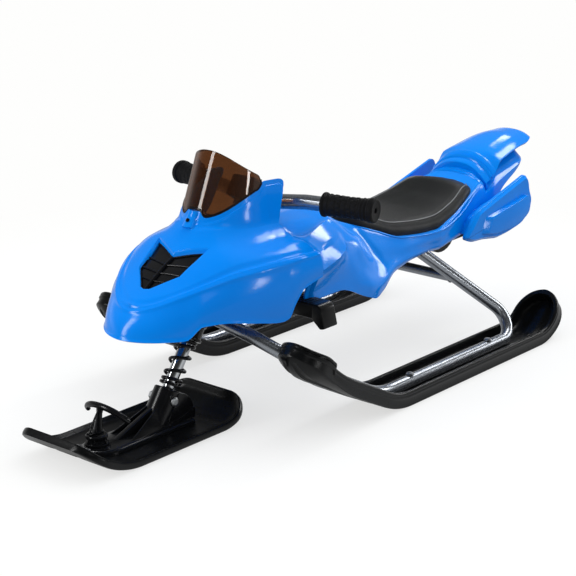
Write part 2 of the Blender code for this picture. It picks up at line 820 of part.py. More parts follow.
def skirt_low(y):
    """Lower edge of the skirt: deep at the nose, a step up, then a cut-away rear corner."""
    return smooth_value([
        (SKIRT_STEP_Y - 0.012, SKIRT_NOSE_Z), (SKIRT_STEP_Y + 0.012, SKIRT_STEP_Z),
        (SKIRT_STEP_Y + 0.045, SKIRT_STEP_Z), (SKIRT_CORNER_Y, SKIRT_CORNER_Z),
        (SKIRT_NOTCH_Y, SKIRT_NOTCH_Z), (COWL_REAR_Y, SKIRT_REAR_Z)], y) + LIFT


def skirt_point(theta, share):
    """Side of the cowl: share 0 is the crease and 1 the lower edge."""
    edge = crease_point(theta)
    normal = Vector((math.sin(theta) * CREASE_LENGTH, -math.cos(theta) * CREASE_HALF, 0.0)).normalized()
    nose = math.cos(theta) ** 2
    edge.z = max(edge.z, skirt_low(edge.y) + 0.003)
    out = SKIRT_SIDE_OUT + (SKIRT_NOSE_OUT - SKIRT_SIDE_OUT) * nose
    low = skirt_low(edge.y)
    z = edge.z + (low - edge.z) * share
    swell = 0.004 * math.sin(math.pi * min(share, 1.0))
    lip = 0.0022 * ramp(share, 0.0, 0.10)
    return Vector((edge.x, edge.y, z)) + normal * (out * share + swell + lip)


def fan_angles():
    last = math.acos(((CREASE_REAR_Y - COWL_REAR_Y) / CREASE_LENGTH) ** (PLAN_POWER / 2.0))
    degs = [0.0, 5.0, 10.0, 16.0, 22.0, 28.0, 33.0, 38.0, 44.0, 50.0, 56.0, 61.0, 64.5, 68.0, 71.0, 74.5, 79.0]
    return [math.radians(d) for d in degs] + [last]


def vent_outline(grow=0.0):
    """Plan outline of the vent, pointed at the front with a V-shaped brow."""
    half = [(0.0, VENT_POINT_Y - grow), (0.010 + grow * 0.5, VENT_POINT_Y + 0.003 - grow),
            (VENT_LOW_HALF + grow, VENT_LOW_Y - grow * 0.3), (VENT_TOP_HALF + grow * 1.2, VENT_TOP_Y + grow),
            (0.006, VENT_BROW_Y + grow)]
    return half + [(-x, y) for x, y in reversed(half[1:])]


def collar_point(phi, z, extra=0.0):
    """Collar and windshield surface: phi 0 is the front, past 90 degrees it runs straight back."""
    rise = z - COLLAR_REF_Z - LIFT
    a = COLLAR_HALF - COLLAR_TAPER * rise + extra
    b = COLLAR_DEPTH - COLLAR_LEAN * rise + extra
    side = -1.0 if phi < 0.0 else 1.0
    p = min(abs(phi), math.pi / 2.0)
    past = max(abs(phi) - math.pi / 2.0, 0.0) / math.radians(30.0)
    x = side * (a * math.sin(p) ** 0.92 + 0.003 * past)
    y = COLLAR_REAR_Y - b * math.cos(p) + past * (COLLAR_EAR + EAR_LEAN * rise)
    return Vector((x, y, z))


def collar_top(phi):
    """Top line of the collar: a boss at the front, a dip, then up to the ears."""
    p = abs(math.degrees(phi))
    boss = (BOSS_Z - COLLAR_FRONT_Z) * (1.0 - ramp(p, 8.5, 18.0))
    side = (COLLAR_SIDE_Z - COLLAR_FRONT_Z) * min(max((p - 24.0) / 52.0, 0.0), 1.0)
    ear = (EAR_Z - COLLAR_SIDE_Z) * ramp(p, 80.0, 92.0)
    return COLLAR_FRONT_Z + boss + side + ear + LIFT


def wall_band(name, phis, low, high, inner, outer, look, layers=1):
    """An upright band along the collar path between two height functions."""
    rows = []
    for phi in phis:
        zs = [low(phi) + (high(phi) - low(phi)) * k / layers for k in range(layers + 1)]
        outside = [collar_point(phi, z, outer) for z in zs]
        inside = [collar_point(phi, z, inner) for z in reversed(zs)]
        rows.append(outside + inside)
    return finish(name, skin(rows, closed_rows=True, caps=True), look)


def collar_angles(limit):
    degs = [0.0, 6.0, 11.0, 17.0, 24.0, 34.0, 45.0, 56.0, 66.0, 74.0, 80.0, 85.0, 90.0, 100.0, 110.0, 120.0]
    degs = [d for d in degs if d <= limit + 0.01]
    return [math.radians(-d) for d in reversed(degs[1:])] + [math.radians(d) for d in degs]


def build_cowl():
    shares = [1.0, 0.985, 0.95, 0.89, 0.80, 0.68, 0.52, 0.34, 0.17]
    falls = [1.0, 0.66, 0.33, 0.12, 0.04]
    columns = []
    for theta in fan_angles():
        right = [skirt_point(theta, f) for f in falls] + [hood_point(theta, s) for s in shares]
        middle = [hood_point(theta, 0.0)]
        left = [Vector((-p.x, p.y, p.z)) for p in reversed(right)]
        columns.append(right + middle + left)
    cowl = finish("cowl", skin(columns), BLUE, smooth_deg=24.0)
    face_away_from(cowl, (0.0, -0.25, 0.12))
    thicken(cowl, SHELL)
    # Cockpit opening inside the collar
    outline = []
    for phi in collar_angles(120.0):
        p = collar_point(phi, COLLAR_REF_Z - 0.030 + LIFT, -COLLAR_WALL * 0.5)
        outline.append((p.x, p.y))
    rear = CREASE_REAR_Y + 0.01
    outline = [(outline[0][0], rear)] + outline + [(outline[-1][0], rear)]
    hole = prism("cockpit_cut", outline, 0.20, 0.40, BLUE, axis="Z", guide=True)
    combine(cowl, hole, "DIFFERENCE")
    collar = wall_band("collar", collar_angles(120.0), collar_low, collar_top, -COLLAR_WALL, 0.0, BLUE, layers=2)
    combine(cowl, collar, "UNION")
    boss_foot = collar_point(0.0, 0.262 + LIFT, 0.006)
    boss_head = collar_point(0.0, BOSS_Z - 0.0030 + LIFT, -COLLAR_WALL - 0.001)
    boss = turned("boss", [(0.0, 0.0), (BOSS_R, 0.0), (BOSS_R * 0.72, (boss_head - boss_foot).length),
                           (0.0, (boss_head - boss_foot).length)], BLUE, boss_foot, boss_head - boss_foot,
                  steps=16, guide=True)
    combine(cowl, boss, "UNION")
    keep = rod("boss_trim", collar_point(0.0, 0.24, -COLLAR_WALL - 0.012), collar_point(0.0, 0.36, -COLLAR_WALL - 0.012),
               0.012, BLUE, steps=24, guide=True)
    combine(cowl, keep, "DIFFERENCE")
    # Recess for the boss screw, square to the boss's front face
    place, facing = boss_screw_place()
    recess = rod("boss_recess", place - facing * 0.0016, place + facing * 0.006, BOSS_SCREW_R + 0.0012, BLUE, steps=14,
                 guide=True)
    combine(cowl, recess, "DIFFERENCE")
    # Posts inside the cowl stand on the peg bar
    for sign in (-1, 1):
        x = sign * COWL_POST_X
        foot = peg_bar_height() + PEG_BAR_R + GAP
        roof = hood_height(x, PEG_BAR_Y) - SHELL * 0.6
        post = rod("cowl_post_" + sign_word(sign), Vector((x, PEG_BAR_Y, foot)), Vector((x, PEG_BAR_Y, roof)), 0.0060,
                   BLUE, steps=10, guide=True)
        combine(cowl, post, "UNION")
    # Vent opening with a short duct below it
    duct = prism("vent_duct", vent_outline(VENT_WALL), 0.190 + LIFT, 0.262 + LIFT, BLUE, axis="Z", guide=True)
    cut = prism("vent_cut", vent_outline(), 0.15, 0.33, BLUE, axis="Z", guide=True)
    duct_shape(duct)
    combine(cowl, duct, "UNION")
    combine(cowl, cut, "DIFFERENCE")
    return cowl


def boss_screw_place():
    """Centre of the boss's front face and the way it looks."""
    foot = collar_point(0.0, 0.262 + LIFT, 0.006)
    head = collar_point(0.0, BOSS_Z - 0.0030 + LIFT, -COLLAR_WALL - 0.001)
    along = (head - foot).normalized()
    facing = SIDE.cross(along).normalized()
    if facing.y > 0.0:
        facing = -facing
    return foot.lerp(head, 0.62) + facing * BOSS_R * 0.80, facing


def build_boss_screw():
    place, facing = boss_screw_place()
    turned("boss_screw", [(0.0, 0.0), (BOSS_SCREW_R, 0.0), (BOSS_SCREW_R, 0.0010), (BOSS_SCREW_R * 0.6, 0.0018),
                          (0.0, 0.0018)], BLACK, place - facing * (0.0016 - GAP), facing, steps=12)


def duct_shape(duct):
    """The duct follows the hood: its top lies just under the skin and its foot 10 mm lower."""
    for v in duct.data.vertices:
        z = hood_height(v.co.x, v.co.y)
        v.co.z = z - 0.0012 if v.co.z > 0.24 + LIFT else z - VENT_SINK - 0.006


def hood_height(x, y):
    """Height of the hood above a plan point."""
    reach = min(max((CREASE_REAR_Y - y) / CREASE_LENGTH, 0.0), 1.0)
    theta = math.acos(reach ** (PLAN_POWER / 2.0))
    edge = crease_point(theta)
    share = min(abs(x) / max(edge.x, 1e-6), 1.0)
    return hood_point(theta, share).z


def collar_low(phi):
    p = collar_point(phi, COLLAR_REF_Z - 0.030 + LIFT)
    return hood_height(p.x, p.y) - 0.0035


def build_vent():
    """Black grille: a sunk tray with a centre spine and three slats each side."""
    outline = vent_outline(-GAP)
    rows = []
    for drop in (VENT_SINK + 0.0055, VENT_SINK + 0.0030):
        rows.append([Vector((x, y, hood_height(x, y) - drop)) for x, y in outline])
    grille = finish("vent_grille", skin(rows, closed_rows=True, caps=True), BLACK)
    spine = []
    for y, half in ((VENT_POINT_Y + 0.006, 0.0022), (VENT_BROW_Y - 0.004, 0.0030)):
        top = hood_height(0.0, y) - VENT_SINK + 0.0035
        low = hood_height(0.0, y) - VENT_SINK - 0.0047
        spine.append([Vector((half, y, low)), Vector((half, y, top)), Vector((-half, y, top)),
                      Vector((-half, y, low))])
    rib = finish("vent_spine", skin(spine, closed_rows=True, caps=True), BLACK, guide=True)
    combine(grille, rib, "UNION")
    for sign in (-1, 1):
        for k in range(3):
            inner_y = VENT_POINT_Y + 0.016 + 0.0125 * k
            outer_x = 0.017 + 0.0062 * k
            outer_y = inner_y + outer_x * 0.34
            rows = []
            for x, y in ((sign * 0.001, inner_y), (sign * outer_x, outer_y)):
                top = hood_height(x, y) - VENT_SINK + 0.0012
                low = hood_height(x, y) - VENT_SINK - 0.0042
                rows.append([Vector((x, y - 0.0030, low)), Vector((x, y - 0.0012, top)),
                             Vector((x, y + 0.0016, top)), Vector((x, y + 0.0030, low))])
            slat = finish("vent_slat_%s_%d" % (sign_word(sign), k), skin(rows, closed_rows=True, caps=True),
                          BLACK, guide=True)
            combine(grille, slat, "UNION")
    return grille


def gasket_low(phi):
    return collar_top(phi) + GAP


def gasket_high(phi):
    return gasket_low(phi) + GASKET_H


def shield_low(phi):
    return gasket_high(phi) + GAP


def shield_top(phi):
    p = abs(phi)
    rear = SHIELD_REAR_Z + LIFT
    fall = math.cos(min(p, math.pi / 2.0)) ** 1.15
    return max(rear + (SHIELD_TOP_Z - SHIELD_REAR_Z) * fall, shield_low(phi) + 0.0035)


def build_windshield():
    inner = -COLLAR_WALL + 0.0003
    wall_band("shield_gasket", collar_angles(85.0), gasket_low, gasket_high, inner, -0.0002, BLACK)
    mid = (inner - 0.0002) / 2.0
    wall_band("windshield", collar_angles(85.0), shield_low, shield_top, mid - SHIELD_T / 2.0,
              mid + SHIELD_T / 2.0, SMOKE, layers=4)


# Rear body

def rim_half(y):
    """Half width of the ridge on the tank's shoulder, which runs on as the seat's flange."""
    return smooth_value([
        (BODY_FRONT_Y, 0.106), (-0.140, 0.095), (-0.100, 0.080), (-0.072, 0.070), (-0.052, 0.068),
        (TANK_REAR_Y, 0.070), (0.010, 0.076), (0.040, 0.080), (0.100, WAIST_HALF), (WAIST_Y, WAIST_HALF),
        (0.250, 0.0815), (0.320, 0.065), (RIM_REAR_Y, RIM_REAR_HALF), (BODY_REAR_Y, TAIL_HALF)], y)


def rim_height(y):
    return smooth_value([
        (BODY_FRONT_Y, 0.2495), (-0.140, 0.253), (-0.100, 0.255), (-0.072, 0.254), (-0.052, 0.251),
        (TANK_REAR_Y, 0.245), (0.030, 0.222), (0.090, 0.200), (WAIST_Y, WAIST_Z), (0.250, 0.200),
        (0.320, 0.225), (0.350, RIM_REAR_Z), (SPOILER_FRONT_Y, RIM_REAR_Z + 0.008),
        (BODY_REAR_Y, 0.255)], y) + LIFT


def fold_points(y):
    """The two folds that carry the cowl's crease on into the body's flank."""
    low = Vector((smooth_value([(BODY_FRONT_Y, 0.1385), (-0.120, 0.130), (-0.090, 0.118), (-0.075, 0.1065),
                                (-0.040, 0.100), (0.020, 0.095)], y), 0.0,
                  smooth_value([(BODY_FRONT_Y, 0.211), (-0.120, 0.218), (-0.090, 0.224), (-0.075, 0.228),
                                (-0.040, 0.222), (0.020, 0.200)], y) + LIFT))
    high = Vector((smooth_value([(BODY_FRONT_Y, 0.131), (-0.120, 0.116), (-0.090, 0.102), (-0.065, 0.089),
                                 (-0.040, 0.084), (0.020, 0.087)], y), 0.0,
                   smooth_value([(BODY_FRONT_Y, 0.2355), (-0.120, 0.240), (-0.090, 0.2405), (-0.065, 0.240),
                                 (-0.040, 0.233), (0.020, 0.209)], y) + LIFT))
    return low, high


def top_height(y):
    """Centre line of the body's top: the tank, the saddle, the tail."""
    tank = TANK_Z + LIFT
    saddle = rim_height(y) - SADDLE_STEP
    tail = rim_height(y) - 0.001
    z = tank + (saddle - tank) * ramp(y, -0.052, PAD_FRONT_Y + 0.014)
    return z + (tail - saddle) * ramp(y, PAD_REAR_Y + 0.004, PAD_REAR_Y + 0.014)


def low_half(y):
    return smooth_value([
        (BODY_FRONT_Y, KNEE_HALF), (-0.030, KNEE_HALF), (0.018, 0.108), (0.061, 0.098), (0.122, 0.090),
        (0.176, 0.0815), (0.261, 0.0800), (0.360, 0.068), (0.410, 0.052), (0.470, 0.042),
        (BODY_REAR_Y, 0.026)], y)


def low_height(y):
    return smooth_value([
        (BODY_FRONT_Y, 0.178), (-0.152, 0.173), (-0.105, 0.161), (-0.032, 0.134), (-0.005, 0.126), (0.018, 0.131),
        (0.061, 0.150), (0.122, 0.156), (0.200, 0.152), (0.261, 0.149), (0.330, 0.160), (0.385, 0.185),
        (0.420, 0.208), (0.470, 0.227), (BODY_REAR_Y, 0.243)], y) + LIFT


def body_stations():
    return [BODY_FRONT_Y, -0.145, -0.120, -0.095, -0.068, -0.046, -0.032, -0.020, 0.000, 0.022, 0.050, 0.085,
            0.125, 0.165, 0.200, 0.232, 0.262, 0.295, 0.325, 0.346, SPOILER_FRONT_Y - 0.002,
            SPOILER_FRONT_Y - 0.0005, 0.382, 0.387, 0.415, 0.440, 0.470, 0.495, BODY_REAR_Y]


def body_section(y):
    """Right half of the body's section, from the lower edge to the centre line."""
    low = Vector((low_half(y), 0.0, low_height(y)))
    rim = Vector((rim_half(y), 0.0, rim_height(y)))
    up = rim - low
    front = 1.0 - ramp(y, -0.080, 0.030)
    lip = LIP_OUT * (1.0 - 0.8 * ramp(y, 0.150, 0.235))
    points = [low]
    for f, out in ((0.17, lip), (0.30, lip * 0.9 + KNEE_BULGE * front * 0.75), (0.46, lip + KNEE_BULGE * front)):
        points.append(low + up * f + SIDE * out)
    loose = ramp(y, -0.045, 0.010)
    fold_low, fold_high = fold_points(y)
    points.append(fold_low.lerp(low + up * 0.68 + SIDE * lip * 0.8, loose))
    points.append(fold_high.lerp(low + up * 0.86 + SIDE * lip * 0.4, loose))
    points.append(rim)
    # Inside the ridge: the scooped shoulder of the tank, or the level seat bed
    top = top_height(y)
    tank = 1.0 - ramp(y, -0.075, -0.040)
    scoop = Vector((SCOOP_X, 0.0, SCOOP_Z + LIFT + SCOOP_RISE * ramp(y, -0.140, -0.075)))
    points.append(Vector((rim.x - 0.0055, 0.0, top)).lerp(scoop, tank))
    shoulder = Vector((TANK_SHOULDER_X, 0.0, TANK_SHOULDER_Z + LIFT))
    points.append(Vector(((rim.x - 0.0055) * 0.55, 0.0, top)).lerp(shoulder, tank))
    points.append(Vector((0.0, 0.0, top)))
    if y > SPOILER_FRONT_Y - 0.001:
        at = max(y, SPOILER_FRONT_Y)
        limit = spoiler_half(at) - SPOILER_T - 0.0055
        for p in points:
            inside = min(p.x, limit)
            if p.z > under_spoiler(inside, at) - 0.010:
                p.x = inside
            p.z = min(p.z, under_spoiler(p.x, at))
    return [Vector((p.x, y, p.z)) for p in points]


def body_roof(x, y):
    """Height of the body's top above a plan point."""
    points = [p for p in reversed(body_section(y)[5:])]
    return float(np.interp(x, [p.x for p in points], [p.z for p in points]))


def build_rear_body():
    rows = []
    for y in body_stations():
        right = body_section(y)
        rows.append(right + [Vector((-p.x, p.y, p.z)) for p in reversed(right[:-1])])
    body = finish("rear_body", skin(rows), BLUE, smooth_deg=28.0)
    face_away_from(body, (0.0, 0.10, 0.10))
    thicken(body, SHELL)
    for sign in (-1, 1):
        leg = tube("leg_room_" + sign_word(sign), filleted(tube_route(sign))[-14:], TUBE_R + PATH_GAP, BLUE, guide=True)
        combine(body, leg, "DIFFERENCE")
    # Posts inside the shell stand on the seat rails
    for sign in (-1, 1):
        for k, y in enumerate((-0.085, 0.070)):
            x = sign * (RAIL_X - 0.006)
            roof = body_roof(x, y) - SHELL * 0.6
            post = rod("body_post_%s_%d" % (sign_word(sign), k), Vector((x, y, RAIL_Z + TUBE_R + GAP)),
                       Vector((x, y, roof)), 0.005, BLUE, steps=10, guide=True)
            combine(body, post, "UNION")
        for k, (y, z) in enumerate(POD_PINS):
            inside = Vector((sign * (POD_BASE_X - POD_PIN_REACH - 0.004), y, z + LIFT))
            hole = rod("pod_hole_%s_%d" % (sign_word(sign), k), inside, inside + SIDE * sign * 0.05, POD_PIN_R + GAP,
                       BLUE, steps=10, guide=True)
            combine(body, hole, "DIFFERENCE")
    return body


def build_seat_pan():
    """Black closing panel under the seat with a rounded lobe below it."""
    z = low_height(0.230) + 0.006
    outline = []
    for y in (0.160, 0.200, 0.240, 0.280, 0.320, 0.345):
        outline.append((low_half(y) - SHELL - 0.0009, y))
    outline = outline + [(-x, y) for x, y in reversed(outline)]
    pan = prism("seat_pan", outline, z, z + 0.004, BLACK, axis="Z")
    lobe = []
    for k in range(13):
        a = math.pi * k / 12.0
        lobe.append((0.252 + 0.036 * math.cos(a), z + 0.002 - 0.028 * math.sin(a)))
    drum = prism("pan_lobe", lobe, -0.050, 0.050, BLACK, axis="X", guide=True)
    combine(pan, drum, "UNION")
    for sign in (-1, 1):
        leg = tube("leg_slot_" + sign_word(sign), filleted(tube_route(sign))[-14:], TUBE_R + PATH_GAP, BLACK, guide=True)
        combine(pan, leg, "DIFFERENCE")
    return pan


# Seat pad

def pad_half(y):
    side = rim_half(y) - PAD_MARGIN
    front = y - PAD_FRONT_Y
    rear = PAD_REAR_Y - y
    if front < 0.045:
        side *= math.sqrt(max(1.0 - ((0.045 - front) / 0.045) ** 2, 0.0)) * 0.62 + 0.38
    if rear < 0.030:
        side *= math.sqrt(max(1.0 - ((0.030 - rear) / 0.030) ** 2, 0.0)) * 0.30 + 0.70
    return side


def saddle_line(y):
    """The saddle's centre line as the shell's straight facets have it."""
    ys = body_stations()
    return float(np.interp(y, ys, [top_height(s) for s in ys]))


def build_seat_pad():
    inside = [y for y in body_stations() if PAD_FRONT_Y + 0.003 < y < PAD_REAR_Y - 0.004]
    stations = [PAD_FRONT_Y] + inside + [0.339, PAD_REAR_Y]
    rows = []
    for y in stations:
        w = pad_half(y)
        base = saddle_line(y) + GAP
        ends = min(ramp(y, PAD_FRONT_Y - 0.004, PAD_FRONT_Y + 0.040), 1.0 - ramp(y, PAD_REAR_Y - 0.050, PAD_REAR_Y + 0.006))
        side = 0.006 + (PAD_SIDE - 0.006) * (0.25 + 0.75 * ends)
        crown = PAD_CROWN * (0.4 + 0.6 * ends)
        half = [(0.0, base), (w * 0.6, base), (w - 0.0005, base), (w, base + side * 0.45),
                (w - 0.0030, base + side * 0.90), (w - 0.0070, base + side)]
        half += [(w * f, base + side + crown * (1.0 - f ** 2.2)) for f in (0.80, 0.58, 0.32, 0.0)]
        left = [(-a, b) for a, b in reversed(half[1:-1])]
        rows.append([Vector((a, y, b)) for a, b in half + left])
    return finish("seat_pad", skin(rows, closed_rows=True, caps=True), PAD, smooth_deg=50.0)


# Tail spoiler and side pods

def spoiler_crest(y):
    return smooth_value([
        (SPOILER_FRONT_Y, SPOILER_FRONT_Z), (0.383, 0.268), (0.386, 0.274), (0.430, 0.283),
        (0.510, SPOILER_CREST_Z), (0.545, 0.283), (SPOILER_REAR_Y, 0.270)], y) + LIFT


def spoiler_half(y):
    return smooth_value([
        (SPOILER_FRONT_Y, 0.058), (0.386, 0.060), (0.430, 0.056), (0.505, 0.048), (0.535, 0.040),
        (0.553, 0.028), (0.562, 0.016), (SPOILER_REAR_Y, 0.006)], y)


def spoiler_drop(y):
    """How far the spoiler's side edge hangs below its crest."""
    drop = 0.016 + 0.012 * (1.0 - ramp(y, 0.415, 0.440))
    return drop * (1.0 - 0.55 * ramp(y, 0.520, SPOILER_REAR_Y))


def under_spoiler(x, y):
    share = min(abs(x) / spoiler_half(y), 1.0)
    return spoiler_crest(y) - spoiler_drop(y) * share ** 2.4 - SPOILER_T * 2.0 - GAP * 2.0


def build_spoiler():
    stations = [SPOILER_FRONT_Y, 0.372, 0.382, 0.387, 0.400, 0.415, 0.428, 0.440, 0.460, 0.482, 0.505,
                0.522, 0.537, 0.549, 0.558, 0.563, SPOILER_REAR_Y]
    rows = []
    for y in stations:
        w = spoiler_half(y)
        z = spoiler_crest(y)
        drop = spoiler_drop(y)
        right = [(w * f, z - drop * f ** 2.4) for f in (1.0, 0.90, 0.74, 0.52, 0.27, 0.0)]
        points = right + [(-a, b) for a, b in reversed(right[:-1])]
        rows.append([Vector((a, y, b)) for a, b in points])
    wing = finish("tail_spoiler", skin(rows), BLUE, smooth_deg=28.0)
    face_away_from(wing, (0.0, 0.45, 0.10))
    thicken(wing, SPOILER_T)
    return wing


def build_side_pods():
    outline = [(0.246, 0.161), (0.2665, 0.152), (0.300, 0.150), (0.3395, 0.144), (0.375, 0.147), (0.4115, 0.153),
               (0.4385, 0.169), (0.444, 0.1945), (0.435, 0.212), (0.433, 0.226), (0.424, 0.2385),
               (0.3415, 0.216), (0.284, 0.2005)]
    panel = [(0.286, 0.162), (0.325, 0.157), (0.380, 0.158), (0.418, 0.170), (0.426, 0.190), (0.420, 0.205),
             (0.299, 0.188)]
    cy = sum(p[0] for p in outline) / len(outline)
    cz = sum(p[1] for p in outline) / len(outline)
    for sign in (-1, 1):
        rows = []
        for x, scale in ((POD_BASE_X, 1.0), (POD_PLATE_X - POD_CHAMFER, 1.0), (POD_PLATE_X, 0.93)):
            rows.append([Vector((sign * x, cy + (y - cy) * scale, cz + (z - cz) * scale + LIFT))
                         for y, z in outline])
        shell = skin(rows, closed_rows=True, caps=True)
        pod = finish("side_pod_" + sign_word(sign), shell, BLUE, smooth_deg=20.0)
        # Raised panel with a long slanted front
        rows = []
        for x, slant in ((POD_PLATE_X - 0.002, 0.0), (POD_FACE_X, POD_SLANT)):
            rows.append([Vector((sign * x, y + (slant if y < 0.31 else 0.0), z + LIFT)) for y, z in panel])
        raised = skin(rows, closed_rows=True, caps=True)
        bmesh.ops.triangulate(raised, faces=raised.faces)
        plate = finish("pod_panel_" + sign_word(sign), raised, BLUE, guide=True)
        combine(pod, plate, "UNION")
        # Pins that press through holes in the body's side
        for k, (y, z) in enumerate(POD_PINS):
            root = Vector((sign * (POD_BASE_X + 0.004), y, z + LIFT))
            pin = rod("pod_pin_%s_%d" % (sign_word(sign), k), root, root - SIDE * sign * (POD_PIN_REACH + 0.004),
                      POD_PIN_R, BLUE, steps=10, guide=True)
            combine(pod, pin, "UNION")


# Steering

def bar_centre():
    return along_axis(BAR_T, back=BAR_SETBACK)


def bar_direction(sign):
    a = math.radians(BAR_SWEEP_DEG)
    return Vector((sign * math.cos(a), math.sin(a), 0.0))


def bar_route(sign):
    """Half of the bar: straight in the clamp, rising and swept back to the grips."""
    centre = bar_centre()
    sweep = math.tan(math.radians(BAR_SWEEP_DEG))
    points = []
    for x, up, bend in ((BAR_MID_HALF, 0.0, 0.050), (BAR_KNEE_X, BAR_RISE, 0.060), (BAR_END_X, BAR_RISE, 0.0)):
        points.append((centre + Vector((sign * x, (x - BAR_MID_HALF) * sweep, up)), bend))
    return points


def build_steering():
    steer_low = SPRING_HIGH + GAP + 0.004
    turned("steering_tube", [(STEER_BORE, steer_low), (STEER_R, steer_low), (STEER_R, STEER_TOP),
                             (STEER_BORE, STEER_TOP)], STEEL, closed=True)
    # Upper spring seat: a cup on the steering tube's lower end
    foot = SPRING_HIGH + GAP
    head = HEAD_LOW - BUSH_FLANGE - GAP * 2.0
    inner = STEER_R + GAP
    turned("spring_cup", [(SHAFT_CLEAR + 0.0005, foot), (CUP_FLANGE_R, foot), (CUP_FLANGE_R, foot + 0.0035),
                          (CUP_R, foot + 0.0045), (CUP_R, head), (inner, head), (inner, steer_low - GAP),
                          (SHAFT_CLEAR + 0.0005, steer_low - GAP)], BLACK, closed=True)
    centre = bar_centre()
    reach = BAR_SETBACK + STEER_R + BAR_R
    mid = along_axis(BAR_T, back=(BAR_SETBACK + BAR_R - STEER_R) / 2.0)
    turn = Matrix((SIDE, BACK, AXIS)).transposed()
    block = box("handlebar_clamp", mid, (CLAMP_HALF * 2.0, reach + CLAMP_WALL * 2.0, (BAR_R + CLAMP_WALL) * 2.0), BLACK, turn=turn)
    add_bevel(block, 0.004, 1)
    stem_hole = rod("clamp_stem_hole", along_axis(BAR_T - 0.03), along_axis(STEER_TOP + GAP), STEER_R + GAP, BLACK,
                    guide=True)
    bar_hole = rod("clamp_bar_hole", centre - SIDE * 0.05, centre + SIDE * 0.05, BAR_R + GAP, BLACK, steps=20,
                   guide=True)
    combine(block, stem_hole, "DIFFERENCE")
    combine(block, bar_hole, "DIFFERENCE")
    route = bar_route(-1)[::-1] + bar_route(1)
    tube("handlebar", filleted(route, 7.0), BAR_R, STEEL, sides=14)
    for sign, end in ((-1, route[0][0]), (1, route[-1][0])):
        out = bar_direction(sign)
        cap = 0.004
        wall = BAR_R + GAP
        length = GRIP_LENGTH
        profile = [(wall, -length + cap), (GRIP_FLANGE_R, -length + cap),
                   (GRIP_FLANGE_R, -length + cap + GRIP_FLANGE_T), (GRIP_R, -length + cap + GRIP_FLANGE_T + 0.001),
                   (GRIP_R, -0.006), (GRIP_FLANGE_R, -0.0045), (GRIP_FLANGE_R, 0.002), (GRIP_R, cap + GAP),
                   (GRIP_HOLE_R, cap + GAP), (GRIP_HOLE_R, GAP + 0.0015), (0.0, GAP + 0.0015)]
        inner_end = [(0.0, GAP), (wall, GAP)]
        turned("grip_" + sign_word(sign), inner_end + profile, RUBBER, end, out, steps=16)


def build_fork():
    shaft = rod("fork_shaft", along_axis(SHAFT_FOOT), along_axis(SHAFT_TOP), SHAFT_R, CHROME)
    eye = rod("fork_eye", PIVOT - SIDE * 0.03, PIVOT + SIDE * 0.03, BOLT_R + GAP, CHROME, steps=16, guide=True)
    combine(shaft, eye, "DIFFERENCE")
    low = SPRING_LOW - GAP - SEAT_RING_T
    turned("spring_ring", [(SHAFT_CLEAR, low), (SEAT_RING_R, low), (SEAT_RING_R, low + SEAT_RING_T),
                           (SHAFT_CLEAR, low + SEAT_RING_T)], BLACK, closed=True)
    build_spring()


def spring_points():
    """Open coil whose ends run straight up to their seats for one wire diameter."""
    wire = SPRING_WIRE_R
    start = SPRING_LOW + wire * 2.0
    stop = SPRING_HIGH - wire * 2.0
    total = SPRING_TURNS * SPRING_POINTS
    points = []
    for k in range(total + 1):
        a = 2.0 * math.pi * k / SPRING_POINTS
        t = start + (stop - start) * k / total
        points.append(along_axis(t) + (SIDE * math.cos(a) + BACK * math.sin(a)) * SPRING_R)
    first = points[0] - AXIS * wire * 2.0
    last = points[-1] + AXIS * wire * 2.0
    return [first] + points + [last]


def build_spring():
    points = spring_points()
    data = bpy.data.curves.new("spring", "CURVE")
    data.dimensions = "3D"
    data.bevel_depth = SPRING_WIRE_R
    data.bevel_resolution = 1
    data.use_fill_caps = True
    spline = data.splines.new("POLY")
    spline.points.add(len(points) - 1)
    for k, p in enumerate(points):
        spline.points[k].co = (*p, 1.0)
    data.materials.append(material(*BLACK))
    coil = bpy.data.objects.new("spring", data)
    bpy.context.scene.collection.objects.link(coil)
    least = min((points[i] - points[j]).length for i in range(len(points)) for j in range(len(points))
                if j - i >= SPRING_POINTS // 2)
    print("least gap between the spring's turns: %.2f mm" % ((least - 2.0 * SPRING_WIRE_R) * 1000.0))


# Front ski and its bracket

FRONT_STATIONS = [-0.530, -0.512, -0.494, FRONT_CURL_Y, -0.400, FRONT_HEEL_Y, -0.302, -0.292, -0.282, -0.272]


def front_ski_path():
    return SkiPath(FRONT_NOSE_Y, FRONT_CURL_Y, FRONT_CURL_R, FRONT_CURL_DEG,
                   FRONT_HEEL_Y, FRONT_HEEL_R, FRONT_HEEL_DEG, FRONT_TAIL_Y)


def build_front_ski():
    ski = front_ski_path()
    rows = []
    stations = end_stations(FRONT_NOSE_Y, FRONT_TAIL_Y, FRONT_CORNER, FRONT_STATIONS)
    for y in stations:
        w = plan_half(y, FRONT_NOSE_Y, FRONT_TAIL_Y, FRONT_HALF, FRONT_CORNER)
        end = min(y - FRONT_NOSE_Y, FRONT_TAIL_Y - y)
        floor = FRONT_PLATE + FRONT_RIM * (1.0 - ramp(end, 0.002, 0.007))
        groove = RUNNER_GROOVE * ramp(end, 0.010, 0.050)
        right = [(0.0, 0.0), (w * 0.16, 0.0), (w * 0.20, groove), (w * 0.42, groove), (w * 0.46, 0.0),
                 (w * 0.965, 0.0), (w, 0.0020), (w, FRONT_PLATE + FRONT_RIM),
                 (w - 0.0045, FRONT_PLATE + FRONT_RIM), (w - 0.0060, floor), (0.0, floor)]
        left = [(-a, b) for a, b in reversed(right[1:-1])]
        rows.append([ski.point(a, y, b) for a, b in right + left])
    finish("front_ski", skin(rows, closed_rows=True, caps=True), BLACK)


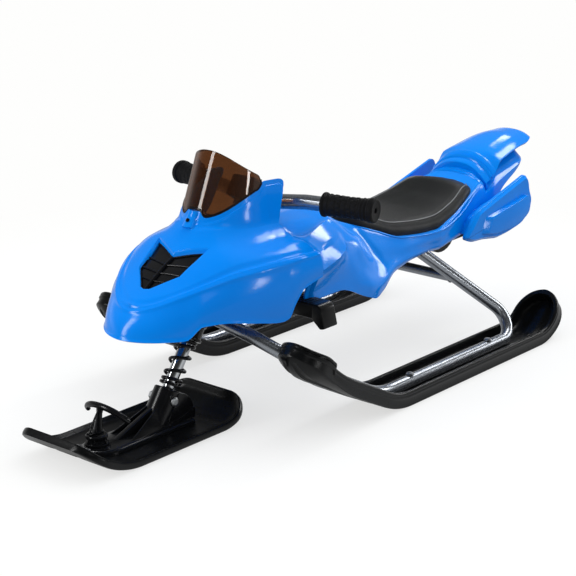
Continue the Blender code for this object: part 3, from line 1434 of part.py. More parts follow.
def build_bracket():
    base_low = FRONT_PLATE + GAP
    top = base_low + BASE_T
    ski = front_ski_path()
    rows = []
    for y in [BASE_FRONT_Y] + [s for s in FRONT_STATIONS if BASE_FRONT_Y < s < BASE_REAR_Y] + [BASE_REAR_Y]:
        w = BASE_HALF - (BASE_HALF - 0.014) * ramp(-y, 0.480, -BASE_FRONT_Y)
        section = [(-w, base_low), (w, base_low), (w, top - 0.001), (w - 0.001, top), (0.001 - w, top), (-w, top - 0.001)]
        rows.append([ski.point(a, y, b) for a, b in section])
    bracket = finish("ski_bracket", skin(rows, closed_rows=True, caps=True), BLACK)
    foot = -(PIVOT_Z - base_low) / AXIS.z
    column = rod("bracket_column", along_axis(foot + 0.001), along_axis(HOUSING_TOP), HOUSING_HALF, BLACK, guide=True)
    combine(bracket, column, "UNION")
    disc = []
    centre = Vector((0.0, PIVOT_Y + 0.004, PIVOT_Z - 0.026))
    for k in range(17):
        a = math.radians(-18.0 + 120.0 * k / 16.0)
        disc.append((centre.y + HOUSING_DISC_R * math.cos(a), max(centre.z + HOUSING_DISC_R * math.sin(a), base_low + 0.001)))
    disc.append((PIVOT_Y - 0.022, base_low + 0.001))
    web = prism("bracket_disc", disc, -HOUSING_HALF + 0.0006, HOUSING_HALF - 0.0006, BLACK, axis="X", guide=True)
    combine(bracket, web, "UNION")
    gusset = [(GUSSET_FRONT_Y, top - 0.001), (PIVOT_Y - 0.012, top - 0.001), (PIVOT_Y - 0.012, PIVOT_Z + GUSSET_TOP)]
    rib = prism("bracket_gusset", gusset, -GUSSET_HALF, GUSSET_HALF, BLACK, axis="X", guide=True)
    combine(bracket, rib, "UNION")
    turn = Matrix((SIDE, BACK, AXIS)).transposed()
    width = (SHAFT_R + GAP * 2.0) * 2.0
    pocket = box("bracket_pocket", along_axis(0.0085), (width, 0.0270, 0.0500), BLACK, guide=True, turn=turn)
    combine(bracket, pocket, "DIFFERENCE")
    floor = box("bracket_floor", (0.0, PIVOT_Y, base_low - 0.025), (0.2, 0.12, 0.05), BLACK, guide=True)
    combine(bracket, floor, "DIFFERENCE")
    seat = rod("reel_seat", Vector((0.0, REEL_Y, 0.0098)), Vector((0.0, REEL_Y, REEL_SEAT_Z)), REEL_SEAT_R, BLACK,
               guide=True)
    combine(bracket, seat, "UNION")
    hole = rod("bracket_hole", PIVOT - SIDE * 0.04, PIVOT + SIDE * 0.04, BOLT_R + GAP, BLACK, steps=16, guide=True)
    combine(bracket, hole, "DIFFERENCE")
    face = HOUSING_HALF + GAP
    turned("pivot_bolt", [(0.0, -face - 0.007), (BOLT_R, -face - 0.007), (BOLT_R, face), (BOLT_HEAD_R, face),
                          (BOLT_HEAD_R, face + BOLT_HEAD_T * 0.55), (BOLT_HEAD_R * 0.6, face + BOLT_HEAD_T),
                          (0.0, face + BOLT_HEAD_T)], BOLT, PIVOT, SIDE, steps=16)
    thread = (BOLT_R + GAP) / math.cos(math.pi / 6.0)
    turned("pivot_nut", [(thread, face), (BOLT_HEAD_R, face), (BOLT_HEAD_R, face + 0.005),
                         (thread, face + 0.005)], BOLT, PIVOT, -SIDE, steps=6, closed=True)


def build_tow_gear():
    """Cord reel on the bracket, the pull handle that stands on it, and the base's two bolts."""
    ski = front_ski_path()
    foot_z = REEL_SEAT_Z + GAP
    high = REEL_TOP - foot_z
    turned("reel_housing", [(0.0, 0.0), (REEL_R + 0.003, 0.0), (REEL_R + 0.003, 0.0035), (REEL_R, 0.0045),
                            (REEL_R, high * 0.6), (REEL_R + 0.0015, high * 0.66), (REEL_R + 0.0015, high - 0.002),
                            (REEL_R - 0.002, high), (0.0, high)],
           BLACK, (0.0, REEL_Y, foot_z), Vector((0, 0, 1)), steps=20)
    arch = []
    for k in range(13):
        a = math.radians(-82.0 + 164.0 * k / 12.0)
        x = HANDLE_HALF * math.sin(a) / math.sin(math.radians(82.0))
        bow = 1.0 - math.cos(a)
        arch.append(Vector((x, HANDLE_Y + 0.018 * bow, HANDLE_Z - 0.020 * bow)))
    handle = tube("tow_handle", arch, HANDLE_BAR_R, BLACK, sides=10)
    foot = Vector((0.0, REEL_Y + 0.002, REEL_TOP + GAP))
    hub = Vector((0.0, HANDLE_Y, HANDLE_Z))
    stem = turned("handle_stem", [(0.0, 0.0), (HANDLE_STEM_R * 1.7, 0.0), (HANDLE_STEM_R * 1.7, 0.0030),
                                  (HANDLE_STEM_R, 0.0065), (HANDLE_STEM_R, (hub - foot).length),
                                  (0.0, (hub - foot).length)], BLACK, foot, Vector((0, 0, 1)), steps=12, guide=True)
    combine(handle, stem, "UNION")
    # The thin brace from the stem's shoulder to the foot's front edge
    shoulder = Vector((0.0, HANDLE_Y, HANDLE_Z - 0.008))
    toe = Vector((0.0, REEL_Y - REEL_R - 0.001, REEL_TOP + GAP + 0.0020))
    brace = rod("handle_brace", toe, shoulder, HANDLE_BRACE_R, BLACK, steps=8, guide=True)
    combine(handle, brace, "UNION")
    lug = box("handle_lug", (0.0, REEL_Y - REEL_R * 0.5, REEL_TOP + GAP + 0.0014), (0.0060, REEL_R + 0.005, 0.0028),
              BLACK, guide=True)
    combine(handle, lug, "UNION")
    base_top = FRONT_PLATE + GAP + BASE_T
    for sign in (-1, 1):
        seat = ski.point(sign * BASE_BOLT_X, BASE_BOLT_Y, base_top + GAP * 2.0)
        slope = ski.point(0.0, BASE_BOLT_Y, 1.0) - ski.point(0.0, BASE_BOLT_Y, 0.0)
        turned("base_bolt_" + sign_word(sign), [(0.0, 0.0), (0.0045, 0.0), (0.0045, 0.0010), (0.0032, 0.0024),
                                                (0.0, 0.0028)], BOLT, seat, slope, steps=10)


# Joint axes: the moving pieces hang on empties

def hang(name, place, names):
    empty = bpy.data.objects.new(name, None)
    empty.location = place
    bpy.context.scene.collection.objects.link(empty)
    for child in names:
        obj = bpy.data.objects[child]
        obj.parent = empty
        obj.matrix_parent_inverse = Matrix.Translation(-Vector(place))


def hang_moving_pieces():
    hang("steering_axis", PIVOT, ["steering_tube", "spring_cup", "handlebar_clamp", "handlebar", "grip_left",
                                  "grip_right"])
    hang("suspension_axis", along_axis(SPRING_LOW), ["fork_shaft", "spring_ring", "spring"])
    hang("ski_pivot_axis", PIVOT, ["front_ski", "ski_bracket", "pivot_bolt", "pivot_nut", "reel_housing",
                                   "base_bolt_left", "base_bolt_right"])
    hang("tow_pull_axis", Vector((0.0, REEL_Y, REEL_TOP)), ["tow_handle"])


build_frame()
build_rear_skis()
build_foot_pegs()
build_cowl()
build_boss_screw()
build_vent()
build_windshield()
build_rear_body()
build_seat_pan()
build_seat_pad()
build_spoiler()
build_side_pods()
build_steering()
build_fork()
build_front_ski()
build_bracket()
build_tow_gear()
hang_moving_pieces()
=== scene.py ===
# %% [markdown]
# # Steering sled
# A child's steering sled: two fixed rear skis under a bent tube frame, a sprung front ski that
# the handlebar turns, a glossy plastic cowl with a smoked windshield, and a long padded seat.
# The CAD model is loaded as a fixed frame, and this lesson builds the finer visible skins and
# finishes around it. Every length is in metres, apart from the tables inside mm(), which are in
# millimetres; Z is up and the sled looks along -Y.

# %% Load the frame
import math

import bmesh
import bpy
from mathutils import Matrix, Vector


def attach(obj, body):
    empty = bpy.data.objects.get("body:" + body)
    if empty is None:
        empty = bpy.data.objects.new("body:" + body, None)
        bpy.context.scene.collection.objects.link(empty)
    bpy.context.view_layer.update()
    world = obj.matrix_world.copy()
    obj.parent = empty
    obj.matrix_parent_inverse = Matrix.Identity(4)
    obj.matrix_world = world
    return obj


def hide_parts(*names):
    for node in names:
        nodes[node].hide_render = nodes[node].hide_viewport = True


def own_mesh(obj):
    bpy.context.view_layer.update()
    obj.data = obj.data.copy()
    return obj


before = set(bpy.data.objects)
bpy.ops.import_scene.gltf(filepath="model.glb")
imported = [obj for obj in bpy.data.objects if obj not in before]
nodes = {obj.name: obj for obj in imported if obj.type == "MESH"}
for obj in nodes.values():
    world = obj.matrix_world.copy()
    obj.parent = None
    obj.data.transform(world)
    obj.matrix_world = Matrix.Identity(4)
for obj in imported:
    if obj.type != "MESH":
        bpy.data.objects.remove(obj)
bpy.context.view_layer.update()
scene = bpy.context.scene
print("CAD nodes:", len(nodes))

# %% [markdown]
# ## Camera
# The photograph was taken with a long lens from the front right, a little above the seat.
# A camera is easiest to set by an aim point, two angles and a distance: the angles give the
# direction from the aim point back to the lens, and the same direction turns the camera.

# %% The camera
azimuth = math.radians(40.1525)
elevation = math.radians(17.1497)
aim = Vector((-0.0009, -0.0802, 0.1441))
aim_distance = 2.6
to_lens = Vector((math.sin(azimuth) * math.cos(elevation), -math.cos(azimuth) * math.cos(elevation),
                  math.sin(elevation)))
camera_data = bpy.data.cameras.new("camera")
camera_data.lens = 106.47
camera_data.sensor_width = 36.0
camera = bpy.data.objects.new("camera", camera_data)
camera.location = aim + to_lens * aim_distance
camera.rotation_euler = to_lens.to_track_quat("Z", "Y").to_euler()
scene.collection.objects.link(camera)
scene.camera = camera
scene.view_settings.view_transform = "Standard"
print("camera at", [round(c, 3) for c in camera.location])

# %% [markdown]
# ## Colours and nodes
# Colours are picked on a screen, so they are written as sRGB hex values. Blender's shaders add
# and multiply light, which only works on linear values, so one function converts them. A second
# small function adds any node with its settings and links, so that a material reads as a list.

# %% Helpers for materials
def hex_colour(text):
    """An sRGB hex value as linear red, green, blue and alpha."""
    levels = [int(text[k:k + 2], 16) / 255.0 for k in (1, 3, 5)]
    linear = [c / 12.92 if c <= 0.04045 else ((c + 0.055) / 1.055) ** 2.4 for c in levels]
    return (*linear, 1.0)


def add_node(tree, kind, links=None, **settings):
    """Adds one node; links fills its inputs with values, with outputs or with nodes' first outputs."""
    made = tree.nodes.new("ShaderNode" + kind)
    for name, value in settings.items():
        setattr(made, name, value)
    for socket, value in (links or {}).items():
        if isinstance(value, bpy.types.Node):
            value = value.outputs[0]
        if isinstance(value, bpy.types.NodeSocket):
            tree.links.new(value, made.inputs[socket])
        else:
            made.inputs[socket].default_value = value
    return made


def empty_material(name):
    """A material with an empty node tree."""
    made = bpy.data.materials.new(name)
    made.use_nodes = True
    made.node_tree.nodes.clear()
    return made, made.node_tree


print("white is", hex_colour("#ffffff"))

# %% [markdown]
# ## Floor, world and lamps
# A studio floor is plain pale paper. It has to look almost white and still carry the soft shadow
# under the skis. More light would also bleach the sled, so the paper gets a share of plain white
# that only the camera and reflections see (Light Path), and the rest is ordinary paper that
# darkens in the shadow. The world is done the same way.

# %% Floor
def seen_directly(tree):
    """1 for camera, glossy and transmission rays, 0 for the rays that light the object."""
    path = add_node(tree, "LightPath").outputs
    seen = add_node(tree, "Math", {0: path["Is Camera Ray"], 1: path["Is Glossy Ray"]}, operation="MAXIMUM")
    return add_node(tree, "Math", {0: seen, 1: path["Is Transmission Ray"]}, operation="MAXIMUM")


# Matt paper: no gloss at all, and a faint unevenness some 0.3 m across
paper, tree = empty_material("matt_paper")
spot = add_node(tree, "TexCoord").outputs["Object"]
path = add_node(tree, "LightPath").outputs
mottle = add_node(tree, "TexNoise", {"Vector": spot, "Scale": 3.0, "Detail": 2.0})
tint = add_node(tree, "Mix", {"Factor": mottle, 6: hex_colour("#e9e9e8"), 7: hex_colour("#f3f3f2")},
                data_type="RGBA")
# Light that the paper throws back up at the sled is halved, as from a smaller sheet of paper
lit = add_node(tree, "Mix", {"Factor": path["Is Diffuse Ray"], 6: tint.outputs[2], 7: hex_colour("#a6a6a5")},
               data_type="RGBA")
sheet = add_node(tree, "BsdfDiffuse", {"Color": lit.outputs[2]})
in_gloss = add_node(tree, "Mix", {"Factor": path["Is Glossy Ray"], 2: 1.0, 3: 0.45})
glow = add_node(tree, "Emission", {"Color": hex_colour("#fefefd"), "Strength": in_gloss})
# Near the sled the paper's own shading shows; from 1.1 m away it is plain white
reach = add_node(tree, "VectorMath", {0: spot}, operation="LENGTH").outputs["Value"]
far = add_node(tree, "MapRange", {"Value": reach, "From Min": 0.45, "From Max": 1.1, "To Min": 0.66,
                                  "To Max": 1.0})
share = add_node(tree, "Math", {0: seen_directly(tree), 1: far}, operation="MULTIPLY")
blend = add_node(tree, "MixShader", {0: share, 1: sheet, 2: glow})
add_node(tree, "OutputMaterial", {"Surface": blend})

bm = bmesh.new()
bmesh.ops.create_grid(bm, x_segments=1, y_segments=1, size=14.0)
bmesh.ops.translate(bm, verts=bm.verts, vec=(0.0, 0.0, -0.0004))
floor_mesh = bpy.data.meshes.new("studio_floor")
bm.to_mesh(floor_mesh)
bm.free()
floor_mesh.materials.append(paper)
floor = bpy.data.objects.new("studio_floor", floor_mesh)
scene.collection.objects.link(floor)
print("the floor is laid")

# %% World
world = bpy.data.worlds.new("studio")
scene.world = world
world.use_nodes = True
tree = world.node_tree
tree.nodes.clear()
heading = add_node(tree, "TexCoord").outputs["Generated"]
height = add_node(tree, "SeparateXYZ", {"Vector": heading}).outputs["Z"]


def level_towards(direction, low, high, start=0.0, end=1.0):
    """A level that goes from low to high as a ray turns towards a direction."""
    turned = add_node(tree, "VectorMath", {0: heading, 1: direction}, operation="DOT_PRODUCT")
    return add_node(tree, "MapRange", {"Value": turned.outputs["Value"], "From Min": start, "From Max": end,
                                       "To Min": low, "To Max": high})


# Seen in a gloss the studio is bright only low down towards the backdrop: the room behind the
# camera and higher up is dim, so that the plastic keeps its deep colour there
backdrop = level_towards((-math.sin(azimuth), math.cos(azimuth), 0.0), 0.14, 0.85, -0.05, 0.50)
overhead = add_node(tree, "MapRange", {"Value": height, "From Min": 0.06, "From Max": 0.24, "To Min": 1.0,
                                       "To Max": 0.26})
room = add_node(tree, "Math", {0: backdrop, 1: overhead}, operation="MULTIPLY")
in_gloss = add_node(tree, "LightPath").outputs["Is Glossy Ray"]
level = add_node(tree, "Mix", {"Factor": in_gloss, 2: 1.0, 3: room})
# The light itself comes from overhead, from the rear right and a little from the front left
above = add_node(tree, "MapRange", {"Value": height, "From Min": -0.1, "From Max": 1.0, "To Min": 0.18,
                                    "To Max": 0.86})
front_left = level_towards((-0.80, -0.55, 0.20), 0.0, 0.45)
rear_right = level_towards((0.50, 0.85, 0.15), 0.0, 1.05)
sides = add_node(tree, "Math", {0: front_left, 1: rear_right}, operation="ADD")
dome = add_node(tree, "Math", {0: above, 1: sides}, operation="ADD")
fill = add_node(tree, "Background", {"Color": hex_colour("#f4f7fb"), "Strength": dome})
white = add_node(tree, "Background", {"Color": hex_colour("#fefefd"), "Strength": level})
blend = add_node(tree, "MixShader", {0: seen_directly(tree), 1: fill, 2: white})
add_node(tree, "OutputWorld", {"Surface": blend})
print("the world is set")

# %% [markdown]
# The highlights in the photograph tell where its lamps stood: a broad soft box above and a little
# behind the seat, a smaller one lower behind it, a tall narrow one at the front left that draws the
# upright streaks on the nose and on the windshield, and a weak broad one beside the camera. Area
# lamps give such streaks. Four small cards stand where the flat facets mirror them.

# %% Lamps
def soft_box(name, place, target, width, height, watts):
    """An area lamp at a place, turned towards a target."""
    data = bpy.data.lights.new(name, "AREA")
    data.shape = "RECTANGLE"
    data.size = width
    data.size_y = height
    data.energy = watts
    lamp = bpy.data.objects.new(name, data)
    lamp.location = place
    lamp.rotation_euler = (Vector(place) - Vector(target)).to_track_quat("Z", "Y").to_euler()
    scene.collection.objects.link(lamp)
    return lamp


# The broad box only lights, and the cards only show in the gloss
soft_box("overhead_box", (0.25, 0.65, 2.3), (0.0, 0.0, 0.2), 2.0, 1.6, 9.0).visible_glossy = False
for name, place, width, height, watts in (("cowl_card", (0.31, 1.08, 1.77), 0.50, 0.40, 5.0),
                                          ("ridge_card", (-0.43, 1.54, 1.22), 0.24, 0.30, 2.2),
                                          ("flank_card", (0.72, 1.63, 0.57), 0.36, 0.44, 5.0),
                                          ("pod_card", (2.10, 0.26, 0.50), 0.20, 0.26, 2.6)):
    soft_box(name, place, (0.11, 0.0, 0.23), width, height, watts).visible_diffuse = False
soft_box("rear_strip", (0.15, 1.9, 2.0), (0.0, 0.0, 0.25), 0.40, 0.7, 11.0)
soft_box("front_strip", (-1.05, -2.4, 1.25), (0.0, -0.3, 0.2), 0.50, 1.6, 26.0)
soft_box("camera_fill", (2.6, -1.2, 2.0), (0.0, 0.0, 0.15), 0.9, 0.9, 2.0)
print("four soft boxes and four cards")

# %% [markdown]
# ## Finishes
# A few finishes cover the sled. Each starts from the real material and how it was made. A pattern
# is laid out on Object coordinates, which here are metres on the sled, so its size is the real
# distance between its features. One function then ends each material in the same way: a pattern
# mixes two close tones, one varies the gloss, and one raises the surface.

# %% Glossy azure ABS
def pattern(tree, size, inputs, kind="TexNoise", **settings):
    """A texture whose features are size metres apart on the object."""
    spot = add_node(tree, "TexCoord").outputs["Object"]
    placed = add_node(tree, "Mapping", {"Vector": spot, "Scale": (1.0 / size,) * 3})
    return add_node(tree, kind, {"Vector": placed, "Scale": 1.0, **inputs}, **settings)


def end_finish(tree, tones, gloss, relief, inputs):
    """Tones, gloss and relief are (pattern, low, high), the relief's being strength and depth."""
    mixed = add_node(tree, "Mix", {"Factor": tones[0], 6: hex_colour(tones[1]), 7: hex_colour(tones[2])},
                     data_type="RGBA")
    rough = add_node(tree, "MapRange", {"Value": gloss[0], "To Min": gloss[1], "To Max": gloss[2]})
    inputs = {"Base Color": mixed.outputs[2], "Roughness": rough, **inputs}
    if relief:
        inputs["Normal"] = add_node(tree, "Bump", {"Height": relief[0], "Strength": relief[1],
                                                   "Distance": relief[2]})
    add_node(tree, "OutputMaterial", {"Surface": add_node(tree, "BsdfPrincipled", inputs)})


# Injection-moulded ABS from a polished tool: a deep, even colour under a clear reflection with the
# slightest orange-peel waviness (about 3 mm) and hairline handling marks in the gloss
azure_abs, tree = empty_material("azure_abs")
cloud = pattern(tree, 0.09, {"Detail": 3.0})
peel = pattern(tree, 0.0032, {"Detail": 1.0})
marks = pattern(tree, 0.012, {"Detail": 8.0, "Roughness": 0.7, "Distortion": 1.6})
end_finish(tree, (cloud, "#007ee6", "#0088f0"), (marks, 0.10, 0.17), (peel, 0.10, 0.0002),
           {"IOR": 1.53, "Specular IOR Level": 0.26})
print("made", azure_abs.name)

# %% Black polypropylene and black nylon
# Skis and pegs are moulded in black polypropylene or polyethylene with a satin spark-eroded grain
# (about 0.7 mm here, a little coarser than real so that it shows); snow and grit leave fine grey
# scuffs
satin_black_pp, tree = empty_material("satin_black_pp")
grain = pattern(tree, 0.0007, {"Detail": 2.0})
scuff = pattern(tree, 0.018, {"Detail": 9.0, "Roughness": 0.72, "Distortion": 2.4})
wear = add_node(tree, "MapRange", {"Value": scuff, "From Min": 0.56, "From Max": 0.78})
end_finish(tree, (wear, "#090a0b", "#141618"), (scuff, 0.22, 0.36), (grain, 0.22, 0.00012),
           {"IOR": 1.49, "Specular IOR Level": 0.26})

# The bracket, tow handle, clamp and strut cups are a harder glass-filled nylon: blacker and a bit
# glossier, with a finer grain
black_nylon, tree = empty_material("black_nylon")
grain = pattern(tree, 0.0005, {"Detail": 2.0})
flow = pattern(tree, 0.02, {"Detail": 4.0})
end_finish(tree, (flow, "#0a0a0c", "#131416"), (flow, 0.14, 0.24), (grain, 0.15, 0.0001),
           {"IOR": 1.53, "Specular IOR Level": 0.28})
print("made", satin_black_pp.name, "and", black_nylon.name)

# %% Painted and plated metals
# Frame tubes: steel with a silver-grey metallic powder coat. The flake gives a soft metal sheen,
# the baked powder a fine 1.5 mm ripple
silver_powder_coat, tree = empty_material("silver_powder_coat")
flake = pattern(tree, 0.0006, {}, "TexVoronoi")
ripple = pattern(tree, 0.0015, {"Detail": 1.0})
end_finish(tree, (flake, "#8d9299", "#aeb2b8"), (flake, 0.20, 0.31), (ripple, 0.05, 0.0001),
           {"Metallic": 0.92})

# Strut shaft: hard chrome on ground steel, a mirror with the faintest grinding haze
hard_chrome, tree = empty_material("hard_chrome")
haze = pattern(tree, 0.002, {"Detail": 3.0})
end_finish(tree, (haze, "#c6c9cd", "#d9dcdf"), (haze, 0.07, 0.14), None, {"Metallic": 1.0})

# Bolts and nuts: bright zinc plate, duller and slightly cloudy
zinc_plate, tree = empty_material("zinc_plate")
cloud = pattern(tree, 0.0015, {"Detail": 4.0})
end_finish(tree, (cloud, "#9a9da0", "#c2c5c7"), (cloud, 0.22, 0.42), None, {"Metallic": 1.0})
print("made", silver_powder_coat.name, hard_chrome.name, zinc_plate.name)

# %% Rubber, vinyl and smoked polycarbonate
# Grips: soft moulded rubber, matt, with a fine pebble between the tread blocks
moulded_rubber, tree = empty_material("moulded_rubber")
pebble = pattern(tree, 0.0011, {"Detail": 3.0})
end_finish(tree, (pebble, "#080809", "#151517"), (pebble, 0.55, 0.75), (pebble, 0.6, 0.0004),
           {"IOR": 1.52, "Specular IOR Level": 0.16})

# Seat: black PVC leathercloth over foam. The embossed grain is cells of about 1.6 mm with narrow
# creases between them, drawn here at 2 mm so that it shows
grained_vinyl, tree = empty_material("grained_vinyl")
cells = pattern(tree, 0.002, {}, "TexVoronoi", feature="DISTANCE_TO_EDGE")
crease = add_node(tree, "MapRange", {"Value": cells, "From Max": 0.22})
shade = pattern(tree, 0.05, {"Detail": 3.0})
end_finish(tree, (shade, "#0f1112", "#181a1b"), (crease, 0.58, 0.46), (crease, 0.30, 0.00018),
           {"IOR": 1.50, "Specular IOR Level": 0.20})

# The seat's piping: the same leathercloth drawn tight over a cord and smoother; its pale grey is a painted
# highlight along the seam
piping_painted_highlight, tree = empty_material("piping_painted_highlight")
piping_mottle = pattern(tree, 0.004, {"Detail": 3.0})
end_finish(tree, (piping_mottle, "#6c6e70", "#808284"), (piping_mottle, 0.32, 0.44), None,
           {"IOR": 1.50, "Specular IOR Level": 0.35})

# Windshield: smoke-brown tinted polycarbonate, clear and glossy; the tint is in the whole sheet
smoked_polycarbonate, tree = empty_material("smoked_polycarbonate")
tone = pattern(tree, 0.03, {"Detail": 2.0})
tint = add_node(tree, "Mix", {"Factor": tone, 6: hex_colour("#7a4c2c"), 7: hex_colour("#855433")},
                data_type="RGBA")
clear = add_node(tree, "BsdfPrincipled", {"Base Color": tint.outputs[2], "Roughness": 0.03, "IOR": 1.58,
                                          "Transmission Weight": 1.0})
# A little of the light is scattered by the dye, which keeps the sheet brown over a dark ground
dye = add_node(tree, "BsdfDiffuse", {"Color": hex_colour("#6b3f24")})
add_node(tree, "OutputMaterial", {"Surface": add_node(tree, "MixShader", {0: 0.16, 1: clear, 2: dye})})
print("made", moulded_rubber.name, grained_vinyl.name, smoked_polycarbonate.name)

# %% [markdown]
# ## Finishes on the CAD pieces
# The CAD's bolts, the boss screw and the closing panel under the seat already have the right
# shape. They keep it and only get a finish. Each node lists its own material slots, so the finish
# goes into every slot. The other nodes are replaced below.

# %% Dress the CAD nodes
finish_of = {
    satin_black_pp: ("seat_pan",),
    black_nylon: ("boss_screw",),
    zinc_plate: ("pivot_bolt", "pivot_nut", "base_bolt_left", "base_bolt_right", "ski_bolt_left_front",
                 "ski_bolt_left_rear", "ski_bolt_right_front", "ski_bolt_right_rear"),
}
for finish, names in finish_of.items():
    for name in names:
        for slot in nodes[name].material_slots:
            slot.material = finish
print("dressed", sum(len(names) for names in finish_of.values()), "of", len(nodes), "CAD nodes")

# %% [markdown]
# ## Lofting with feature lines
# The cowl and the body are moulded skins. A boat builder draws such a skin as a set of lines that
# run along it, such as the lower edge, the crease and the rim, and then bends each cross section
# through them. That is done here: a flat grid from bmesh is laid over rows of points, and each row
# is a smooth curve through the lines' points, with a corner where a line is a sharp crease.

# %% Curves for the loft
both_sides = (("right", 1.0), ("left", -1.0))
shell_wall, shell_rim = 0.0028, 0.0009


def mm(*points):
    """Points written in millimetres, as metres."""
    return [tuple(round(value / 1000.0, 7) for value in point) for point in points]


def smooth_value(pairs, at):
    """A smooth curve through (position, value) pairs, with no overshoot."""
    xs = [p[0] for p in pairs]
    ys = [p[1] for p in pairs]
    if at <= xs[0]:
        return ys[0]
    if at >= xs[-1]:
        return ys[-1]
    slopes = [(ys[i + 1] - ys[i]) / (xs[i + 1] - xs[i]) for i in range(len(xs) - 1)]
    tangents = [slopes[0]]
    for i in range(1, len(slopes)):
        a, b = slopes[i - 1], slopes[i]
        tangents.append(0.0 if a * b <= 0.0 else 2.0 * a * b / (a + b))
    tangents.append(slopes[-1])
    i = max(k for k in range(len(slopes)) if xs[k] <= at)
    h = xs[i + 1] - xs[i]
    u = (at - xs[i]) / h
    return ((1 + 2 * u) * (1 - u) ** 2 * ys[i] + u * (1 - u) ** 2 * h * tangents[i]
            + u * u * (3 - 2 * u) * ys[i + 1] + u * u * (u - 1) * h * tangents[i + 1])


def ramp(at, start, end):
    """0 before start, 1 after end, smooth between."""
    u = min(max((at - start) / (end - start), 0.0), 1.0)
    return u * u * (3.0 - 2.0 * u)


def bump_at(at, centre, half):
    """A smooth hump of height 1 over centre, 0 beyond half on each side."""
    u = min(abs(at - centre) / half, 1.0)
    return (1.0 - u * u) ** 2


def section_curve(points, sharp, counts):
    """A curve through points. sharp is 1 at a corner and 0 where the curve runs on smoothly.

    counts gives the number of steps of each span.
    """
    last = len(points) - 1
    chords = [points[k + 1] - points[k] for k in range(last)]
    made = [points[0].copy()]
    for k in range(last):
        length = chords[k].length
        start = chords[k].copy()
        stop = chords[k].copy()
        if k > 0:
            through = (chords[k - 1].normalized() + chords[k].normalized()) * 0.5 * length
            start = through.lerp(chords[k], sharp[k])
        if k < last - 1:
            through = (chords[k].normalized() + chords[k + 1].normalized()) * 0.5 * length
            stop = through.lerp(chords[k], sharp[k + 1])
        for step in range(1, counts[k] + 1):
            u = step / counts[k]
            made.append(points[k] * ((1 + 2 * u) * (1 - u) ** 2) + start * (u * (1 - u) ** 2)
                        + points[k + 1] * (u * u * (3 - 2 * u)) + stop * (u * u * (u - 1)))
    return made


print("half way up a ramp:", ramp(0.5, 0.0, 1.0))

# %% [markdown]
# A grid knows its neighbours already, so laying it over the rows takes no list of faces. The right
# half is laid, mirrored, and welded along the middle, and then the whole skin is turned to face
# away from a point inside it. Solidify gives the skin its wall, and a narrow Bevel catches the
# light on its rim as a moulded edge does.

# %% From rows of points to a piece
def lay_grid(rows):
    """A bmesh grid whose vertices are moved onto rows of points, all rows equally long."""
    across = len(rows[0])
    bm = bmesh.new()
    bmesh.ops.create_grid(bm, x_segments=across - 1, y_segments=len(rows) - 1, size=1.0)
    for v in bm.verts:
        column = round((v.co.x + 1.0) * 0.5 * (across - 1))
        row = round((v.co.y + 1.0) * 0.5 * (len(rows) - 1))
        v.co = rows[row][column]
    return bm


def mirror_half(bm):
    """Adds the left half to a right half that ends on X = 0."""
    weld = 0.00002
    bmesh.ops.mirror(bm, geom=bm.verts[:] + bm.edges[:] + bm.faces[:], axis="X", merge_dist=weld)
    bmesh.ops.remove_doubles(bm, verts=bm.verts, dist=weld)


def face_outwards(bm, inside):
    """Turns an open skin so that it looks away from a point inside."""
    bmesh.ops.recalc_face_normals(bm, faces=bm.faces)
    inside = Vector(inside)
    score = sum(f.calc_area() * f.normal.dot(f.calc_center_median() - inside) for f in bm.faces)
    if score < 0.0:
        bmesh.ops.reverse_faces(bm, faces=bm.faces)


def to_piece(name, bm, look, body, node, angle):
    """Ends a bmesh: an object smooth up to a crease angle, on its body, in the place of a CAD node."""
    mesh = bpy.data.meshes.new(name)
    bm.to_mesh(mesh)
    bm.free()
    mesh.materials.append(look)
    mesh.shade_smooth()
    mesh.set_sharp_from_angle(angle=math.radians(angle))
    piece = bpy.data.objects.new(name, mesh)
    scene.collection.objects.link(piece)
    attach(piece, body)
    if node:
        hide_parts(node)
    return piece


def give_wall(piece, thickness, rim):
    """A wall inwards from the skin, with its rim rounded."""
    wall = piece.modifiers.new("wall", "SOLIDIFY")
    wall.thickness = thickness
    wall.offset = -1.0
    wall.use_even_offset = True
    wall.use_quality_normals = True
    edge = piece.modifiers.new("rim", "BEVEL")
    edge.width = rim
    edge.segments = 3
    edge.limit_method = "ANGLE"
    edge.angle_limit = math.radians(50.0)
    edge.harden_normals = False


def closed(bm):
    """Merges doubles and turns a closed solid's faces outwards."""
    bmesh.ops.remove_doubles(bm, verts=bm.verts, dist=0.00001)
    bmesh.ops.recalc_face_normals(bm, faces=bm.faces)


def cap_ends(bm):
    """Fills every open ring of edges."""
    bmesh.ops.holes_fill(bm, edges=[e for e in bm.edges if e.is_boundary], sides=0)


def swept(rows, weld=0.00002):
    """A closed solid from rings of points, with both its ends capped."""
    bm = lay_grid(rows)
    bmesh.ops.remove_doubles(bm, verts=bm.verts, dist=weld)
    cap_ends(bm)
    closed(bm)
    return bm


def round_off(bm, geom, size, segments, what="EDGES"):
    """Rounds edges, or the corners of an outline where what is VERTICES."""
    bmesh.ops.bevel(bm, geom=geom, offset=size, offset_type="OFFSET", segments=segments, profile=0.5,
                    affect=what, material=-1, clamp_overlap=True)


print("helpers are ready")

# %% [markdown]
# ## Plain solids
# Three small tools make nearly all the other pieces. A thick plate is one face that is extruded and
# bevelled. A turned part is a profile carried round an axis. A bar is a ring of points carried along
# a path, bent or straight. Several such solids joined in one mesh are enough where the real moulding
# is one piece, because only its outside is seen.

